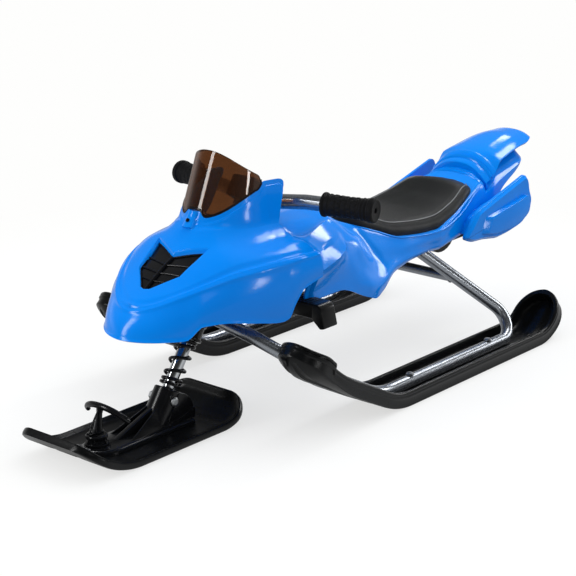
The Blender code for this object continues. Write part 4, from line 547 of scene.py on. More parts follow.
# %% Plate, bar and turned part
def thick_plate(bm, points, direction, bevel=0.0, segments=3):
    """Adds a solid: one face through points, extruded by direction, edges rounded."""
    part = bmesh.new()
    face = part.faces.new([part.verts.new(p) for p in points])
    grown = bmesh.ops.extrude_face_region(part, geom=[face], use_keep_orig=True)["geom"]
    grown = [v for v in grown if isinstance(v, bmesh.types.BMVert)]
    bmesh.ops.translate(part, verts=grown, vec=direction)
    bmesh.ops.recalc_face_normals(part, faces=part.faces)
    if bevel > 0.0:
        round_off(part, part.edges[:], bevel, segments)
    pour(bm, part)


def pour(bm, part):
    """Moves everything from one bmesh into another."""
    spare = bpy.data.meshes.new("spare")
    part.to_mesh(spare)
    part.free()
    bm.from_mesh(spare)
    bpy.data.meshes.remove(spare)


def frame_along(direction):
    """Three axes with z along a direction."""
    z = Vector(direction).normalized()
    x = Vector((1.0, 0.0, 0.0)) if abs(z.x) < 0.9 else Vector((0.0, 1.0, 0.0))
    y = z.cross(x).normalized()
    return y.cross(z).normalized(), y, z


def rays_round(x, y, count):
    """Unit vectors once round the axis that x and y are square to, back to the first."""
    turns = [2.0 * math.pi * k / count for k in range(count + 1)]
    return [x * math.cos(a) + y * math.sin(a) for a in turns]


def add_turned(bm, profile, start, direction, steps=40):
    """Adds a turned solid; profile holds (radius, distance along the axis) pairs.

    A profile that doesn't begin and end on the axis is a ring and closes on itself.
    """
    x, y, z = frame_along(direction)
    pairs = list(profile)
    if pairs[0][0] > 1e-7:
        pairs.append(pairs[0])
    rows = []
    for radius, along in pairs:
        centre = Vector(start) + z * along
        rows.append([centre + ray * radius for ray in rays_round(x, y, steps)])
    part = lay_grid(rows)
    bmesh.ops.remove_doubles(part, verts=part.verts, dist=1e-6)
    bmesh.ops.recalc_face_normals(part, faces=part.faces)
    pour(bm, part)


def add_bar(bm, points, radius, sides=20, flat=None):
    """Adds a round bar along a path; radius may be a function of 0..1 along it.

    flat, where given, squeezes the section: (direction, share).
    """
    count = len(points)
    x, y, z = frame_along(points[1] - points[0])
    rows = []
    for k, p in enumerate(points):
        ahead = points[min(k + 1, count - 1)] - points[max(k - 1, 0)]
        z = ahead.normalized()
        x = (x - z * x.dot(z)).normalized()
        y = z.cross(x)
        size = radius(k / (count - 1)) if callable(radius) else radius
        ring = [ray * size for ray in rays_round(x, y, sides)]
        if flat:
            ring = [r - flat[0] * r.dot(flat[0]) * (1.0 - flat[1]) for r in ring]
        rows.append([p + r for r in ring])
    part = lay_grid(rows)
    bmesh.ops.remove_doubles(part, verts=part.verts, dist=1e-6)
    cap_ends(part)
    bmesh.ops.recalc_face_normals(part, faces=part.faces)
    pour(bm, part)


def rounded_route(route, step_degrees=5.0):
    """A path of (point, bend radius) pairs with its bends as arcs."""
    points = [route[0][0].copy()]
    for (before, _), (corner, radius), (after, _) in zip(route[:-2], route[1:-1], route[2:]):
        a = (before - corner).normalized()
        b = (after - corner).normalized()
        turn = math.pi - a.angle(b)
        if radius <= 0.0 or turn < 1e-4:
            points.append(corner.copy())
            continue
        reach = radius * math.tan(turn / 2.0)
        middle = corner + (a + b).normalized() * (radius / math.cos(turn / 2.0))
        first = corner + a * reach - middle
        last = corner + b * reach - middle
        axis = first.cross(last).normalized()
        steps = max(int(math.degrees(turn) / step_degrees), 2)
        for k in range(steps + 1):
            points.append(middle + Matrix.Rotation(turn * k / steps, 3, axis) @ first)
    points.append(route[-1][0].copy())
    return points


print("solid tools are ready")

# %% [markdown]
# ## Rear skis
# Each rear ski is one moulding of black polypropylene: a flat sole that curls up at both ends, a
# raised wall all round, and a channel inside that holds the frame tube. The wall grows into a tall
# rounded band at the tip. The side view is a path of arcs and straights. A plan outline with round
# ends gives the half width at each station, and the section is laid square to the path.

# %% Path of a ski and its outline
def ski_path(nose_y, curl, heel, toe=0.0, toe_run=0.05):
    """Height and slope of the sole at y; curl and heel are (start, radius, degrees)."""
    def at(y):
        z, slope = 0.0, 0.0
        for (start, radius, degrees), way in ((curl, -1.0), (heel, 1.0)):
            run = (y - start) * way
            if run <= 0.0:
                continue
            angle = math.radians(degrees)
            arc = radius * math.sin(angle)
            if run <= arc:
                slope = math.asin(run / radius) * way
                z = radius * (1.0 - math.cos(slope))
            else:
                slope = angle * way
                z = radius * (1.0 - math.cos(angle)) + (run - arc) * math.tan(angle)
        over = max(nose_y + toe_run - y, 0.0) / toe_run
        if over > 0.0:
            z += toe * over ** 2
            slope = -math.atan(math.tan(-slope) + 2.0 * toe * over / toe_run)
        return z, slope
    return at


def on_ski(path, x, y, up):
    """A point at x, square to the path by up."""
    z, slope = path(y)
    return Vector((x, y - up * math.sin(slope), z + up * math.cos(slope)))


def plan_half(y, front, rear, half, corner):
    """Half width at y of an outline with rounded ends."""
    reach = min(y - front, rear - y)
    if reach >= corner:
        return half
    return half - corner + math.sqrt(max(corner ** 2 - (corner - max(reach, 0.0)) ** 2, 0.0))


def ski_stations(front, rear, corner, step):
    """Close together round the ends, evenly spaced between."""
    turns = [math.radians(4.0 + 86.0 * k / 11.0) for k in range(12)]
    ys = [front + corner * (1.0 - math.cos(a)) for a in turns]
    count = max(int((rear - front - 2.0 * corner) / step), 2)
    for k in range(1, count):
        ys.append(front + corner + (rear - front - 2.0 * corner) * k / count)
    return ys + [rear - corner * (1.0 - math.cos(a)) for a in reversed(turns)]


rear_front, rear_rear, rear_half = -0.308, 0.389, 0.0395
rear_corner = rear_half * 0.98
rear_rim = 0.0068
ski_x = 0.181
curl_y, curl_radius, curl_degrees = -0.055, 0.15, 27.0
rear_path = ski_path(rear_front, (curl_y, curl_radius, curl_degrees), (0.3, 0.08, 40.0), toe=0.012)
print("sole of the tip is", round(rear_path(rear_front)[0] * 1000), "mm up")

# %% [markdown]
# One closed section is swept from end to end: up the outer face, over the rim, down the inner face
# and across the channel floor. Towards the tip the sole's edges climb like a boat's, so that only
# its middle stays on the path, and the wall above them becomes a band with a shadow line that ends
# in a step. Two grooves under the sole keep the ski on its track.

# %% The rear ski
def boat(y):
    """How far the sole's edge climbs above its middle towards the tip."""
    return 0.0175 * (1.0 - ramp(y, -0.3, -0.185))


def rear_wall(y):
    """Height of the wall above the sole's edge: a band that ends in a step, then a plain wall."""
    band = 0.0195 + 0.0065 * ramp(y, -0.306, -0.268)
    plain = 0.0195 + 0.0045 * ramp(y, -0.24, -0.18) + 0.003 * ramp(y, 0.32, 0.385)
    return plain + (band - plain) * (1.0 - ramp(y, -0.2545, -0.2515))


def rear_ski_section(y, w):
    """(x, up) pairs once round the ski, counter-clockwise seen from the front."""
    b = boat(y)
    h = b + rear_wall(y)
    tip = 1.0 - ramp(y, -0.256, -0.25)
    band = 0.0014 * tip
    line = 0.0012 * tip + 0.0004
    groove = 0.003 * ramp(w, rear_half * 0.45, rear_half * 0.9)
    belly = b * (w / rear_half) ** 1.3
    front, rear = rear_front + rear_rim, rear_rear - rear_rim
    hollow = front < y < rear
    wi = plan_half(y, front, rear, rear_half - rear_rim, rear_corner - rear_rim) if hollow else w * 0.4

    def sole(share, up=0.0):
        return (w * share, b - belly * (1.0 - share ** 1.7) + up)

    def bed(share, up):
        return (wi * share, b - belly * (1.0 - share ** 1.7) + up if hollow else h)

    def wall(x, up):
        return (x, up if hollow else h)

    outer = w + band
    right = [sole(0.0), sole(0.2), sole(0.25, groove), sole(0.36, groove), sole(0.47, groove), sole(0.52),
             sole(0.7), sole(0.88), sole(0.965, 0.0002), (w - 0.0006, b + 0.0012), (w - 0.0012, b + 0.0036),
             (w - 0.0014, h - 0.0112), (outer - 0.0004, h - 0.0096), (outer, h - 0.0086), (outer, h - 0.0062),
             (outer - line, h - 0.0056), (outer - line, h - 0.005), (outer, h - 0.0044), (outer, h - 0.0022),
             (outer - 0.0009, h - 0.0006), (outer - 0.0024, h), (wi + 0.002, h),
             wall(wi + 0.0006, h - 0.0007), wall(wi, h - 0.0022), wall(wi, b + (h - b) * 0.55),
             wall(wi * 0.985, b + 0.0102), bed(0.9, 0.007), bed(0.8, 0.0062), bed(0.42, 0.0062),
             bed(0.36, 0.0074), bed(0.1, 0.0074)]
    left = [(-x, up) for x, up in reversed(right[1:])]
    return right + left


def build_rear_ski(side, word):
    rows = []
    spots = [y for y in ski_stations(rear_front, rear_rear, rear_corner, 0.0075) if not -0.262 < y < -0.244]
    spots += [-0.261, -0.2575, -0.255, -0.254, -0.253, -0.252, -0.2508, -0.249, -0.245]
    # The channel's own round ends begin one wall thickness in
    for k in (0.0, 0.06, 0.3, 0.9, 1.9, 3.2, 4.8):
        spots += [rear_front + rear_rim + 0.001 * k, rear_rear - rear_rim - 0.001 * k]
    for y in sorted(spots):
        w = plan_half(y, rear_front, rear_rear, rear_half, rear_corner)
        row = [on_ski(rear_path, side * (ski_x + x), y, up) for x, up in rear_ski_section(y, w)]
        rows.append(row + [row[0].copy()])
    return to_piece("rear_ski_shell_" + word, swept(rows), satin_black_pp, "chassis", "rear_ski_" + word,
                    40.0)


for word, side in both_sides:
    piece = build_rear_ski(side, word)
    print(piece.name, len(piece.data.polygons), "faces")

# %% [markdown]
# ## Cowl: its lines
# The cowl is one moulding: an upright skirt, a rounded crease bead with a shadow groove above it, a
# domed hood, and a collar round the cockpit that rises to an ear on each side. Seen in plan the
# crease is a blunt bow shape, a superellipse. These are the same dimensions as in the CAD model.

# %% Crease, hood and skirt
crease_half = 0.132
crease_rear_y = -0.145
crease_length = 0.273
plan_power = 1.8
cowl_rear_y = -0.168
crease_heights = mm((-418, 195), (-376, 217), (-300, 238), (-205, 244), (-145, 244))
hood_heights = mm((-418, 199), (-384, 220), (-337, 251), (-288, 274), (-145, 270))
skirt_heights = mm((-470, 156), (-388, 156), (-366, 174), (-345, 174.5), (-290, 166), (-245, 159),
                   (-233, 162), (-222, 180), (-204, 200), (-168, 210))


def crease_point(theta):
    """The crease bead in plan and height; theta is 0 at the nose and 90 degrees at the rear."""
    x = crease_half * math.sin(theta) ** (2.0 / plan_power)
    y = crease_rear_y - crease_length * max(math.cos(theta), 0.0) ** (2.0 / plan_power)
    return Vector((x, y, smooth_value(crease_heights, y)))


def hood_height(x, y):
    """Height of the plain dome above a plan point."""
    reach = min(max((crease_rear_y - y) / crease_length, 0.0), 1.0)
    edge = crease_point(math.acos(reach ** (plan_power / 2.0)))
    share = min(abs(x) / max(edge.x, 1e-6), 1.0)
    full = ramp(edge.y, -0.425, -0.3)
    top = max(smooth_value(hood_heights, y), edge.z + 0.0005)
    return edge.z + (top - edge.z) * (1.0 - share ** (2.0 + 0.9 * full)) ** (1.0 / (1.0 + 0.1 * full))


def skirt_foot(theta):
    """Outward lean and lower edge of the skirt below a crease point."""
    edge = crease_point(theta)
    out = Vector((math.sin(theta) * crease_length, -math.cos(theta) * crease_half, 0.0)).normalized()
    reach = 0.005 + 0.017 * math.cos(theta) ** 2
    foot = edge + out * reach
    foot.z = smooth_value(skirt_heights, foot.y)
    return foot, out


rear_theta = math.acos(((crease_rear_y - cowl_rear_y) / crease_length) ** (plan_power / 2.0))
print("the bow turns through", round(math.degrees(rear_theta), 1), "degrees")

# %% Collar round the cockpit
collar_top_heights = [(0.0, 0.3085), (8.5, 0.3075), (15.0, 0.3005), (18.0, 0.2995), (24.0, 0.3005),
                      (76.0, 0.33), (80.0, 0.3315), (91.0, 0.3425), (110.0, 0.3415)]


def collar_point(degrees, z, proud=0.0):
    """The collar's outer face: 0 is the front, past 90 degrees it runs straight back as the ear."""
    rise = z - 0.308
    a = 0.06 - 0.12 * rise + proud
    b = 0.087 - 0.4 * rise + proud
    turn = math.radians(min(degrees, 90.0))
    past = max(degrees - 90.0, 0.0) / 30.0
    return Vector((a * math.sin(turn) ** 0.92 + 0.003 * past,
                   -0.2 - b * math.cos(turn) + past * (0.028 + 0.42 * rise), z))


def collar_top(degrees):
    """Height of the collar's rim, rounded off at the ear's rear end."""
    z = smooth_value(collar_top_heights, degrees)
    over = max(degrees - 109.0, 0.0) / 11.0
    return z - 0.011 * (1.0 - math.sqrt(max(1.0 - over * over, 0.0)))


def boss_proud(x, z):
    """How far the half-round boss at the collar's front stands proud of it."""
    low = ramp(z, 0.3085, 0.272)
    half = 0.008 + 0.0036 * low
    return (0.0054 + 0.0056 * low) * math.sqrt(max(1.0 - (x / half) ** 2, 0.0))


print("ear top", round(collar_top(100.0), 4), "m")

# %% [markdown]
# Each column of the cowl's grid starts on the collar's rim, drops down the collar, turns through a
# fillet into the dome, crosses the groove and the bead, and ends at the skirt's lower edge. So the
# grid's lines follow the moulding's own features, and the highlights run cleanly along them.

# %% One column of the cowl
apron = 0.0135
hood_rows = 31


def cowl_column(degrees, theta):
    """Points from the collar's rim at one angle to the skirt's lower edge at another."""
    rim_z = collar_top(degrees)
    foot = collar_point(degrees, 0.278)
    foot.z = hood_height(foot.x, foot.y) + apron
    edge = crease_point(theta)
    low, out = skirt_foot(theta)
    points = []
    # Collar: a rim band 7 mm deep, then a slight step in
    drop = rim_z - foot.z
    for f in (0.0, 0.6, 1.6, 3.2, 5.0, 6.6, 7.4, 8.4):
        z = rim_z - f * 0.001
        step = 0.0008 * ramp(f, 6.6, 7.4) * ramp(degrees, 14.0, 20.0)
        p = collar_point(degrees, z, step)
        if degrees < 14.0:
            p = collar_point(degrees, z, boss_proud(p.x, z))
        points.append(p)
    for k in range(1, 8):
        z = rim_z - 0.0084 - (drop - 0.0084) * k / 8.0
        flare = 0.0005 + 0.0022 * (k / 8.0) ** 3
        p = collar_point(degrees, z, 0.0008 * ramp(degrees, 14.0, 20.0) + flare)
        if degrees < 14.0:
            p = collar_point(degrees, z, boss_proud(p.x, z) + flare)
        points.append(p)
    # Hood: straight in plan from the collar's foot to the bead
    shift = collar_point(degrees, points[-1].z, 0.0026) - collar_point(degrees, points[-1].z)
    start = Vector((foot.x, foot.y, 0.0)) + Vector((shift.x, shift.y, 0.0)) * 1.25
    end = Vector((edge.x, edge.y, 0.0))
    length = (end - start).length
    away = [length * (1.0 - k / 20.0) ** 1.08 for k in range(0, 20)]
    away = [d for d in away if d > 0.0155]
    away += [0.014, 0.0125, 0.011, 0.0097, 0.0085, 0.0073, 0.0062, 0.0052, 0.0042, 0.0033, 0.0025, 0.0017,
             0.0009]
    while len(away) > hood_rows:
        away.pop(1)
    while len(away) < hood_rows:
        away.insert(1, (away[0] + away[1]) * 0.5)
    groove = 0.0011 + 0.0009 * ramp(edge.y, -0.4, -0.33)
    fold = ramp(edge.y, -0.25, -0.185)
    for d in away:
        p = start.lerp(end, 1.0 - d / length)
        z = hood_height(p.x, p.y)
        z -= groove * bump_at(d, 0.0062, 0.0056)
        z += 0.001 * bump_at(d, 0.0, 0.0042)
        # A flat facet above the bead towards the rear, and the apron that sweeps up to the collar
        z += 0.0026 * fold * max(1.0 - abs(d - 0.0245) / 0.015, 0.0) ** 1.2
        z += apron * max(1.0 - (length - d) / 0.034, 0.0) ** 2.4
        points.append(Vector((p.x, p.y, z)))
    # Bead, skirt and the flared lower lip
    points.append(edge + Vector((0.0, 0.0, 0.0009)))
    fall = edge.z - low.z
    for share in (0.01, 0.025, 0.045, 0.07, 0.1, 0.16, 0.24, 0.34, 0.45, 0.56, 0.67, 0.78, 0.87, 0.93, 0.965,
                  1.0):
        bead = 0.0026 * math.sqrt(min(share / 0.045, 1.0)) - 0.0012 * ramp(share, 0.05, 0.13)
        swell = 0.004 * math.sin(math.pi * share)
        lip = 0.0012 * ramp(share, 0.93, 1.0)
        lean = Vector((low.x - edge.x, low.y - edge.y, 0.0))
        p = Vector((edge.x, edge.y, edge.z - fall * share))
        points.append(p + lean * share + out * (bead + swell + lip))
    return points


column_spots = [k * 0.9 for k in range(14)] + [13.2 + 2.2 * k for k in range(20)]
column_spots += [57.0 + 1.35 * k for k in range(38)] + [109.0 + 1.1 * k for k in range(10)] + [120.0]
bow_of = [(0.0, 0.0), (12.0, 15.0), (45.0, 42.0), (80.0, 66.0), (96.0, 73.5),
          (120.0, math.degrees(rear_theta))]
rows = [cowl_column(spot, math.radians(smooth_value(bow_of, spot))) for spot in column_spots]
cowl_bm = lay_grid(rows)
print("half cowl:", len(rows), "columns of", len(rows[0]), "points,", len(cowl_bm.faces), "faces")

# %% [markdown]
# The vent is a sunk scoop with a V-shaped brow. Cutting planes (bisect_plane) put edges exactly on
# its outline, the faces inside go, and the open edge is extruded down and in as the scoop's walls.
# That gives crisp corners which a boolean cutter would leave with long sliver faces.

# %% Cut the vent's scoop
vent_outline = mm((0, -390.5), (9, -388), (39, -359.5), (49, -308), (0, -329))
vent_corners = [Vector((x, y, 0.0)) for x, y in vent_outline]
vent_planes = []
for a, b in zip(vent_corners[:-1], vent_corners[1:]):
    along = (b - a).normalized()
    vent_planes.append((a, Vector((along.y, -along.x, 0.0))))
for point, normal in vent_planes:
    near = [f for f in cowl_bm.faces if f.calc_center_median().x < 0.062
            and -0.4 < f.calc_center_median().y < -0.296 and f.calc_center_median().z > 0.205]
    # dict.fromkeys drops the repeats and keeps the order, which a set doesn't
    ring = dict.fromkeys([v for f in near for v in f.verts] + [e for f in near for e in f.edges])
    bmesh.ops.bisect_plane(cowl_bm, geom=list(ring) + near, plane_co=point, plane_no=normal, dist=0.00002)


def inside_vent(p, slack=0.0):
    return all((p - point).dot(normal) < slack for point, normal in vent_planes)


gone = [f for f in cowl_bm.faces if f.calc_center_median().y < -0.29 and f.calc_center_median().z > 0.205
        and inside_vent(Vector((*f.calc_center_median().xy, 0.0)))]
bmesh.ops.delete(cowl_bm, geom=gone, context="FACES")
brink = [e for e in cowl_bm.edges if e.is_boundary
         and all(inside_vent(Vector((*v.co.xy, 0.0)), 0.0002) and v.co.z > 0.205 for v in e.verts)
         and not all(v.co.x < 0.00002 for v in e.verts)]
centre = Vector((0.0, -0.35, 0.0))
for sink, pull in ((0.0006, 0.022), (0.0052, 0.075), (0.0105, 0.01)):
    grown = bmesh.ops.extrude_edge_only(cowl_bm, edges=brink)["geom"]
    brink = [e for e in grown if isinstance(e, bmesh.types.BMEdge)]
    for v in {v for e in brink for v in e.verts}:
        v.co.x += (centre.x - v.co.x) * pull
        v.co.y += (centre.y - v.co.y) * pull
        v.co.z -= sink
    brink = [e for e in brink if e.is_boundary and not all(v.co.x < 0.00002 for v in e.verts)]
print("scoop walls end on", len(brink), "edges")

# %% Finish the cowl
mirror_half(cowl_bm)
face_outwards(cowl_bm, (0.0, -0.25, 0.12))
cowl = to_piece("cowl_skin", cowl_bm, azure_abs, "chassis", "cowl", 38.0)
give_wall(cowl, shell_wall, shell_rim)
print("cowl skin:", len(cowl.data.polygons), "faces before its wall")

# %% [markdown]
# ## Vent grille
# The grille is a black insert clipped into the scoop. It has a frame along the opening, a broad spine
# down the middle, and three raised slats on each side, over a dark floor. The floor follows the hood
# a few millimetres down, so it is cut from the same hood function, and the bars are laid on it.

# %% Grille
def on_grille(x, y, up=0.0):
    """A point on the grille's floor, deeper under the brow than at the bottom."""
    sink = 0.0052 + 0.003 * ramp(y, -0.38, -0.32)
    return Vector((x, y, hood_height(x, y) - sink + up))


def vent_edge(y):
    """Half width of the opening at y, between its bottom and the brow's corner."""
    for (xa, ya), (xb, yb) in zip(vent_outline[:3], vent_outline[1:4]):
        if ya <= y <= yb:
            return xa + (xb - xa) * (y - ya) / (yb - ya)
    return 0.0


bm = bmesh.new()
rows = []
for k in range(33):
    y = -0.3895 + 0.08 * k / 32.0
    half = max(vent_edge(y) - 0.0006, 0.0005)
    rows.append([on_grille(half * (j / 12.0 - 1.0), y) for j in range(25)])
floor_bm = lay_grid(rows)
thick = bmesh.ops.extrude_face_region(floor_bm, geom=floor_bm.faces[:], use_keep_orig=True)["geom"]
thick = [v for v in thick if isinstance(v, bmesh.types.BMVert)]
bmesh.ops.translate(floor_bm, verts=thick, vec=(0.0, 0.0, -0.0022))
bmesh.ops.recalc_face_normals(floor_bm, faces=floor_bm.faces)
pour(bm, floor_bm)


def grille_bar(a, b, radius, up, steps=14):
    """A rounded bar on the floor between two plan points."""
    line = []
    for k in range(steps + 1):
        line.append(on_grille(a[0] + (b[0] - a[0]) * k / steps, a[1] + (b[1] - a[1]) * k / steps, up))
    add_bar(bm, line, radius, sides=12)


grille_bar((0.0, -0.387), (0.0, -0.3318), 0.0029, 0.0012)
for sign in (1.0, -1.0):
    rim = mm((0, -388), (7.8, -386.2), (36.5, -359), (46, -311.2), (0, -331.4))
    for a, b in zip(rim[:-1], rim[1:]):
        grille_bar((sign * a[0], a[1]), (sign * b[0], b[1]), 0.0015, 0.001)
    for start, end in (((0.002, -0.3722), (0.0215, -0.37)), ((0.002, -0.3592), (0.035, -0.3545)),
                       ((0.002, -0.3452), (0.04, -0.3372))):
        grille_bar((sign * start[0], start[1]), (sign * end[0], end[1]), 0.0014, 0.0012)
grille = to_piece("grille_insert", bm, black_nylon, "chassis", "vent_grille", 45.0)
print("grille:", len(grille.data.polygons), "faces")

# %% [markdown]
# ## Rear body
# Behind the cowl the body is a saddle-shaped shell: a tank top with a scooped shoulder, two folded
# ridges that carry the cowl's crease on into the flank, a waist that dips under the thighs, and a
# flange round the seat. It is lofted through nine lines that run from the cowl to the tail.

# %% The body's lines
body_front_y = -0.1668
body_rear_y = 0.51
lower_x = mm((-168, 118), (-30, 118), (18, 108), (61, 98), (122, 90), (176, 81.5), (261, 80), (360, 68),
             (410, 56), (470, 45), (495, 37), (510, 20))
lower_z = mm((-168, 168), (-105, 169), (-32, 142), (-5, 134), (18, 139), (61, 158), (122, 164), (200, 160),
             (261, 157), (330, 168), (385, 193), (420, 216), (470, 235), (510, 251))
rim_x = mm((-168, 106), (-140, 95), (-100, 80), (-72, 70), (-52, 69.5), (-30, 73.5), (0, 79), (40, 83),
           (100, 89.5), (190, 89), (250, 82), (320, 66), (360, 56), (386, 56.5), (430, 52.5), (480, 48),
           (500, 39), (510, 25))
rim_z = mm((-168, 257.5), (-140, 261), (-100, 263), (-72, 262), (-52, 256), (-30, 248), (30, 225), (90, 204),
           (190, 194), (250, 203), (320, 225.5), (350, 232.5), (362, 235), (430, 245), (510, 256))
fold_a_x = mm((-168, 139.5), (-120, 131), (-90, 119), (-75, 107.5), (-40, 101), (20, 96))
fold_a_z = mm((-168, 219), (-120, 226), (-90, 232), (-75, 236), (-40, 230), (20, 208))
fold_b_x = mm((-168, 132), (-120, 117), (-90, 103), (-65, 90), (-40, 85), (20, 88))
fold_b_z = mm((-168, 243.5), (-120, 248), (-90, 248.5), (-65, 248), (-40, 241), (20, 217))


def at(line_x, line_z, y):
    """The point of a line, given by its x and its z tables, at y."""
    return Vector((smooth_value(line_x, y), y, smooth_value(line_z, y)))


def spoiler_crest(y):
    """Height of the spoiler along its middle."""
    return smooth_value(mm((362, 259), (383, 270), (386, 275.5), (430, 288), (490, 296.5), (520, 296.5),
                           (548, 289)), y)


def spoiler_half(y):
    """Half width of the spoiler."""
    return smooth_value(mm((362, 58), (386, 60), (430, 56), (495, 49), (520, 43), (534, 35), (542, 26),
                           (546.5, 16), (548, 6)), y)


def spoiler_drop(y):
    """How far the spoiler's side edge hangs below its crest."""
    return (0.016 + 0.013 * (1.0 - ramp(y, 0.389, 0.408))) * (1.0 - 0.55 * ramp(y, 0.505, 0.548))


def under_spoiler(x, y):
    """Height of the free space under the spoiler."""
    share = min(abs(x) / spoiler_half(y), 1.0)
    return spoiler_crest(y) - spoiler_drop(y) * share ** 2.4 - 0.0052


print("seat flange at the waist:", [round(c, 3) for c in at(rim_x, rim_z, 0.19)])

# %% One cross section of the body
def body_section(y):
    """From the lower edge over the flank, folds and rim to the middle of the top."""
    low = at(lower_x, lower_z, y)
    rim = at(rim_x, rim_z, y)
    front = 1.0 - ramp(y, -0.08, 0.03)
    up = rim - low
    # Lip: the flank turns under a little above the lobe's edge
    lobe = bump_at(y, -0.03, 0.12)
    lip = low + up * 0.17 + Vector((0.0045 + 0.004 * lobe, 0.0, 0.0))
    side = low + up * 0.42 + Vector((0.004 + 0.014 * front, 0.0, 0.0))
    fold_a = at(fold_a_x, fold_a_z, y)
    fold_b = at(fold_b_x, fold_b_z, y)
    plain_a = low + up * 0.68 + Vector((0.0035, 0.0, 0.0))
    plain_b = low + up * 0.86 + Vector((0.0018, 0.0, 0.0))
    loose = ramp(y, -0.045, 0.01)
    fold_a = fold_a.lerp(plain_a, loose)
    fold_b = fold_b.lerp(plain_b, loose)
    # Tank: a scooped shoulder inside the ridge, and a crown along the middle
    tank = 1.0 - ramp(y, -0.075, -0.04)
    crown = 0.266
    # Behind the seat the deck rolls up to the spoiler, with two small steps
    deck = ramp(y, 0.34, 0.354)
    riser = 0.0018 * (ramp(y, 0.3548, 0.3554) + ramp(y, 0.3598, 0.3604))
    saddle = rim.z - 0.004 + 0.0185 * deck + riser
    top = crown + (saddle - crown) * ramp(y, -0.055, -0.022)
    scoop = Vector((0.066, y, 0.2515)).lerp(Vector((rim.x - 0.0075, y, rim.z + 0.0012)), 1.0 - tank)
    scoop.z += 0.0085 * tank * ramp(y, -0.14, -0.075) + 0.0095 * (1.0 - ramp(y, -0.169, -0.14))
    scoop.z += (0.0035 * deck + 0.5 * riser) * (1.0 - tank)
    roll = 0.22 * (top - rim.z) * deck
    shoulder = Vector((0.038, y, 0.263)).lerp(Vector((rim.x * 0.55, y, top - roll)), 1.0 - tank)
    middle = Vector((0.0, y, top))
    points = [low, lip, side, fold_a, fold_b, rim, scoop, shoulder, middle]
    crisp = 1.0 - ramp(y, -0.075, -0.03)
    sharp = [0.0, 0.25, 0.0, 0.92 * crisp, 0.92 * crisp, 0.55 + 0.4 * crisp, 0.45 * (1.0 - tank), 0.0, 0.0]
    section = section_curve(points, sharp, (5, 8, 9, 5, 5, 6, 6, 6))
    # Under the spoiler the skin keeps inside it
    if y > 0.361:
        under = max(y, 0.362)
        for p in section:
            inner = min(p.x, spoiler_half(under) - 0.005)
            if p.z > under_spoiler(inner, under) - 0.01:
                p.x = inner
            p.z = min(p.z, under_spoiler(p.x, under))
    section[-1].x = 0.0
    return section


def pleat(y, z, foot, head, width, depth):
    """A fold pressed into the flank along a line from foot to head."""
    along = (head[0] - foot[0], head[1] - foot[1])
    length = math.hypot(*along)
    run = ((y - foot[0]) * along[0] + (z - foot[1]) * along[1]) / length
    off = ((y - foot[0]) * along[1] - (z - foot[1]) * along[0]) / length
    fade = ramp(run / length, 0.0, 0.25) * (1.0 - ramp(run / length, 0.75, 1.05))
    return -depth * fade * max(1.0 - abs(off) / width, 0.0) ** 1.3


pleats = [((0.026, 0.176), (-0.05, 0.25), 0.013, 0.0026), ((0.03, 0.18), (-0.02, 0.24), 0.009, 0.002),
          ((0.034, 0.168), (0.018, 0.19), 0.006, 0.0014)]
stations = [body_front_y + 0.004 * k for k in range(58)]
stations += [stations[-1] + 0.0055 * k for k in range(1, 26)]
# Close together over the deck's two steps
stations = [y for y in stations if y < 0.3615] + [0.367 + 0.0048 * k for k in range(30)]
stations += [0.3548, 0.3551, 0.3554, 0.3598, 0.3601, 0.3604, 0.3603, 0.3615]
stations = sorted(set(round(y, 5) for y in stations if y < body_rear_y)) + [body_rear_y]
rows = []
for y in stations:
    row = body_section(y)
    for p in row[6:-12]:
        p.x += sum(pleat(y, p.z, *fold) for fold in pleats)
    rows.append(row)
# In front the skin tucks under the cowl, so that no light shows through the joint
for y, inset in ((-0.169, 0.0016), (-0.1715, 0.0044), (-0.179, 0.0048)):
    tucked = []
    for p in body_section(body_front_y):
        inward = Vector((-p.x, 0.0, 0.205 - p.z))
        share = min(inset / max(inward.length, 1e-6), 1.0)
        tucked.append(Vector((p.x * (1.0 - share), y, p.z + inward.z * share)))
    rows.insert(0, tucked)
body_bm = lay_grid(rows)
mirror_half(body_bm)
face_outwards(body_bm, (0.0, 0.1, 0.1))
rear_body = to_piece("rear_body_skin", body_bm, azure_abs, "chassis", "rear_body", 38.0)
give_wall(rear_body, shell_wall, shell_rim)
print("rear body skin:", len(rear_body.data.polygons), "faces from", len(stations), "sections")

# %% [markdown]
# A fine rounded bead runs along the seat flange. On the moulding it stiffens the edge, and in the
# photograph it is the thin bright line beside the seat. It is a thin bar laid on the rim's line.

# %% Bead along the seat flange
bm = bmesh.new()
for sign in (1.0, -1.0):
    line = []
    for k in range(111):
        y = -0.024 + 0.3805 * k / 110.0
        p = at(rim_x, rim_z, y)
        line.append(Vector((sign * (p.x + 0.0002), y, p.z + 0.0001)))
    add_bar(bm, line, lambda u: 0.0003 + 0.0013 * ramp(u, 0.0, 0.1) * (1.0 - ramp(u, 0.96, 1.0)), sides=14)
bead = to_piece("flange_bead", bm, azure_abs, "chassis", None, 60.0)
print("bead:", len(bead.data.polygons), "faces")

# %% [markdown]
# ## Tail spoiler
# The spoiler is a hood that clips over the end of the body. Its front lip climbs in two rounded
# steps behind the seat, a fine line crosses it where the lip section ends, and its side edge runs
# from a hanging corner up to the rounded tip.

# %% Spoiler
# The lip's steps: y, crest and share of the half width
lip_steps = [(0.3674, 0.2585, 0.985), (0.3668, 0.262, 0.99), (0.3663, 0.2656, 0.995), (0.3662, 0.269, 1.0),
             (0.3685, 0.2712, 1.0), (0.374, 0.2735, 1.0), (0.3775, 0.2745, 1.0), (0.3782, 0.2775, 1.0),
             (0.3805, 0.2798, 1.0)]


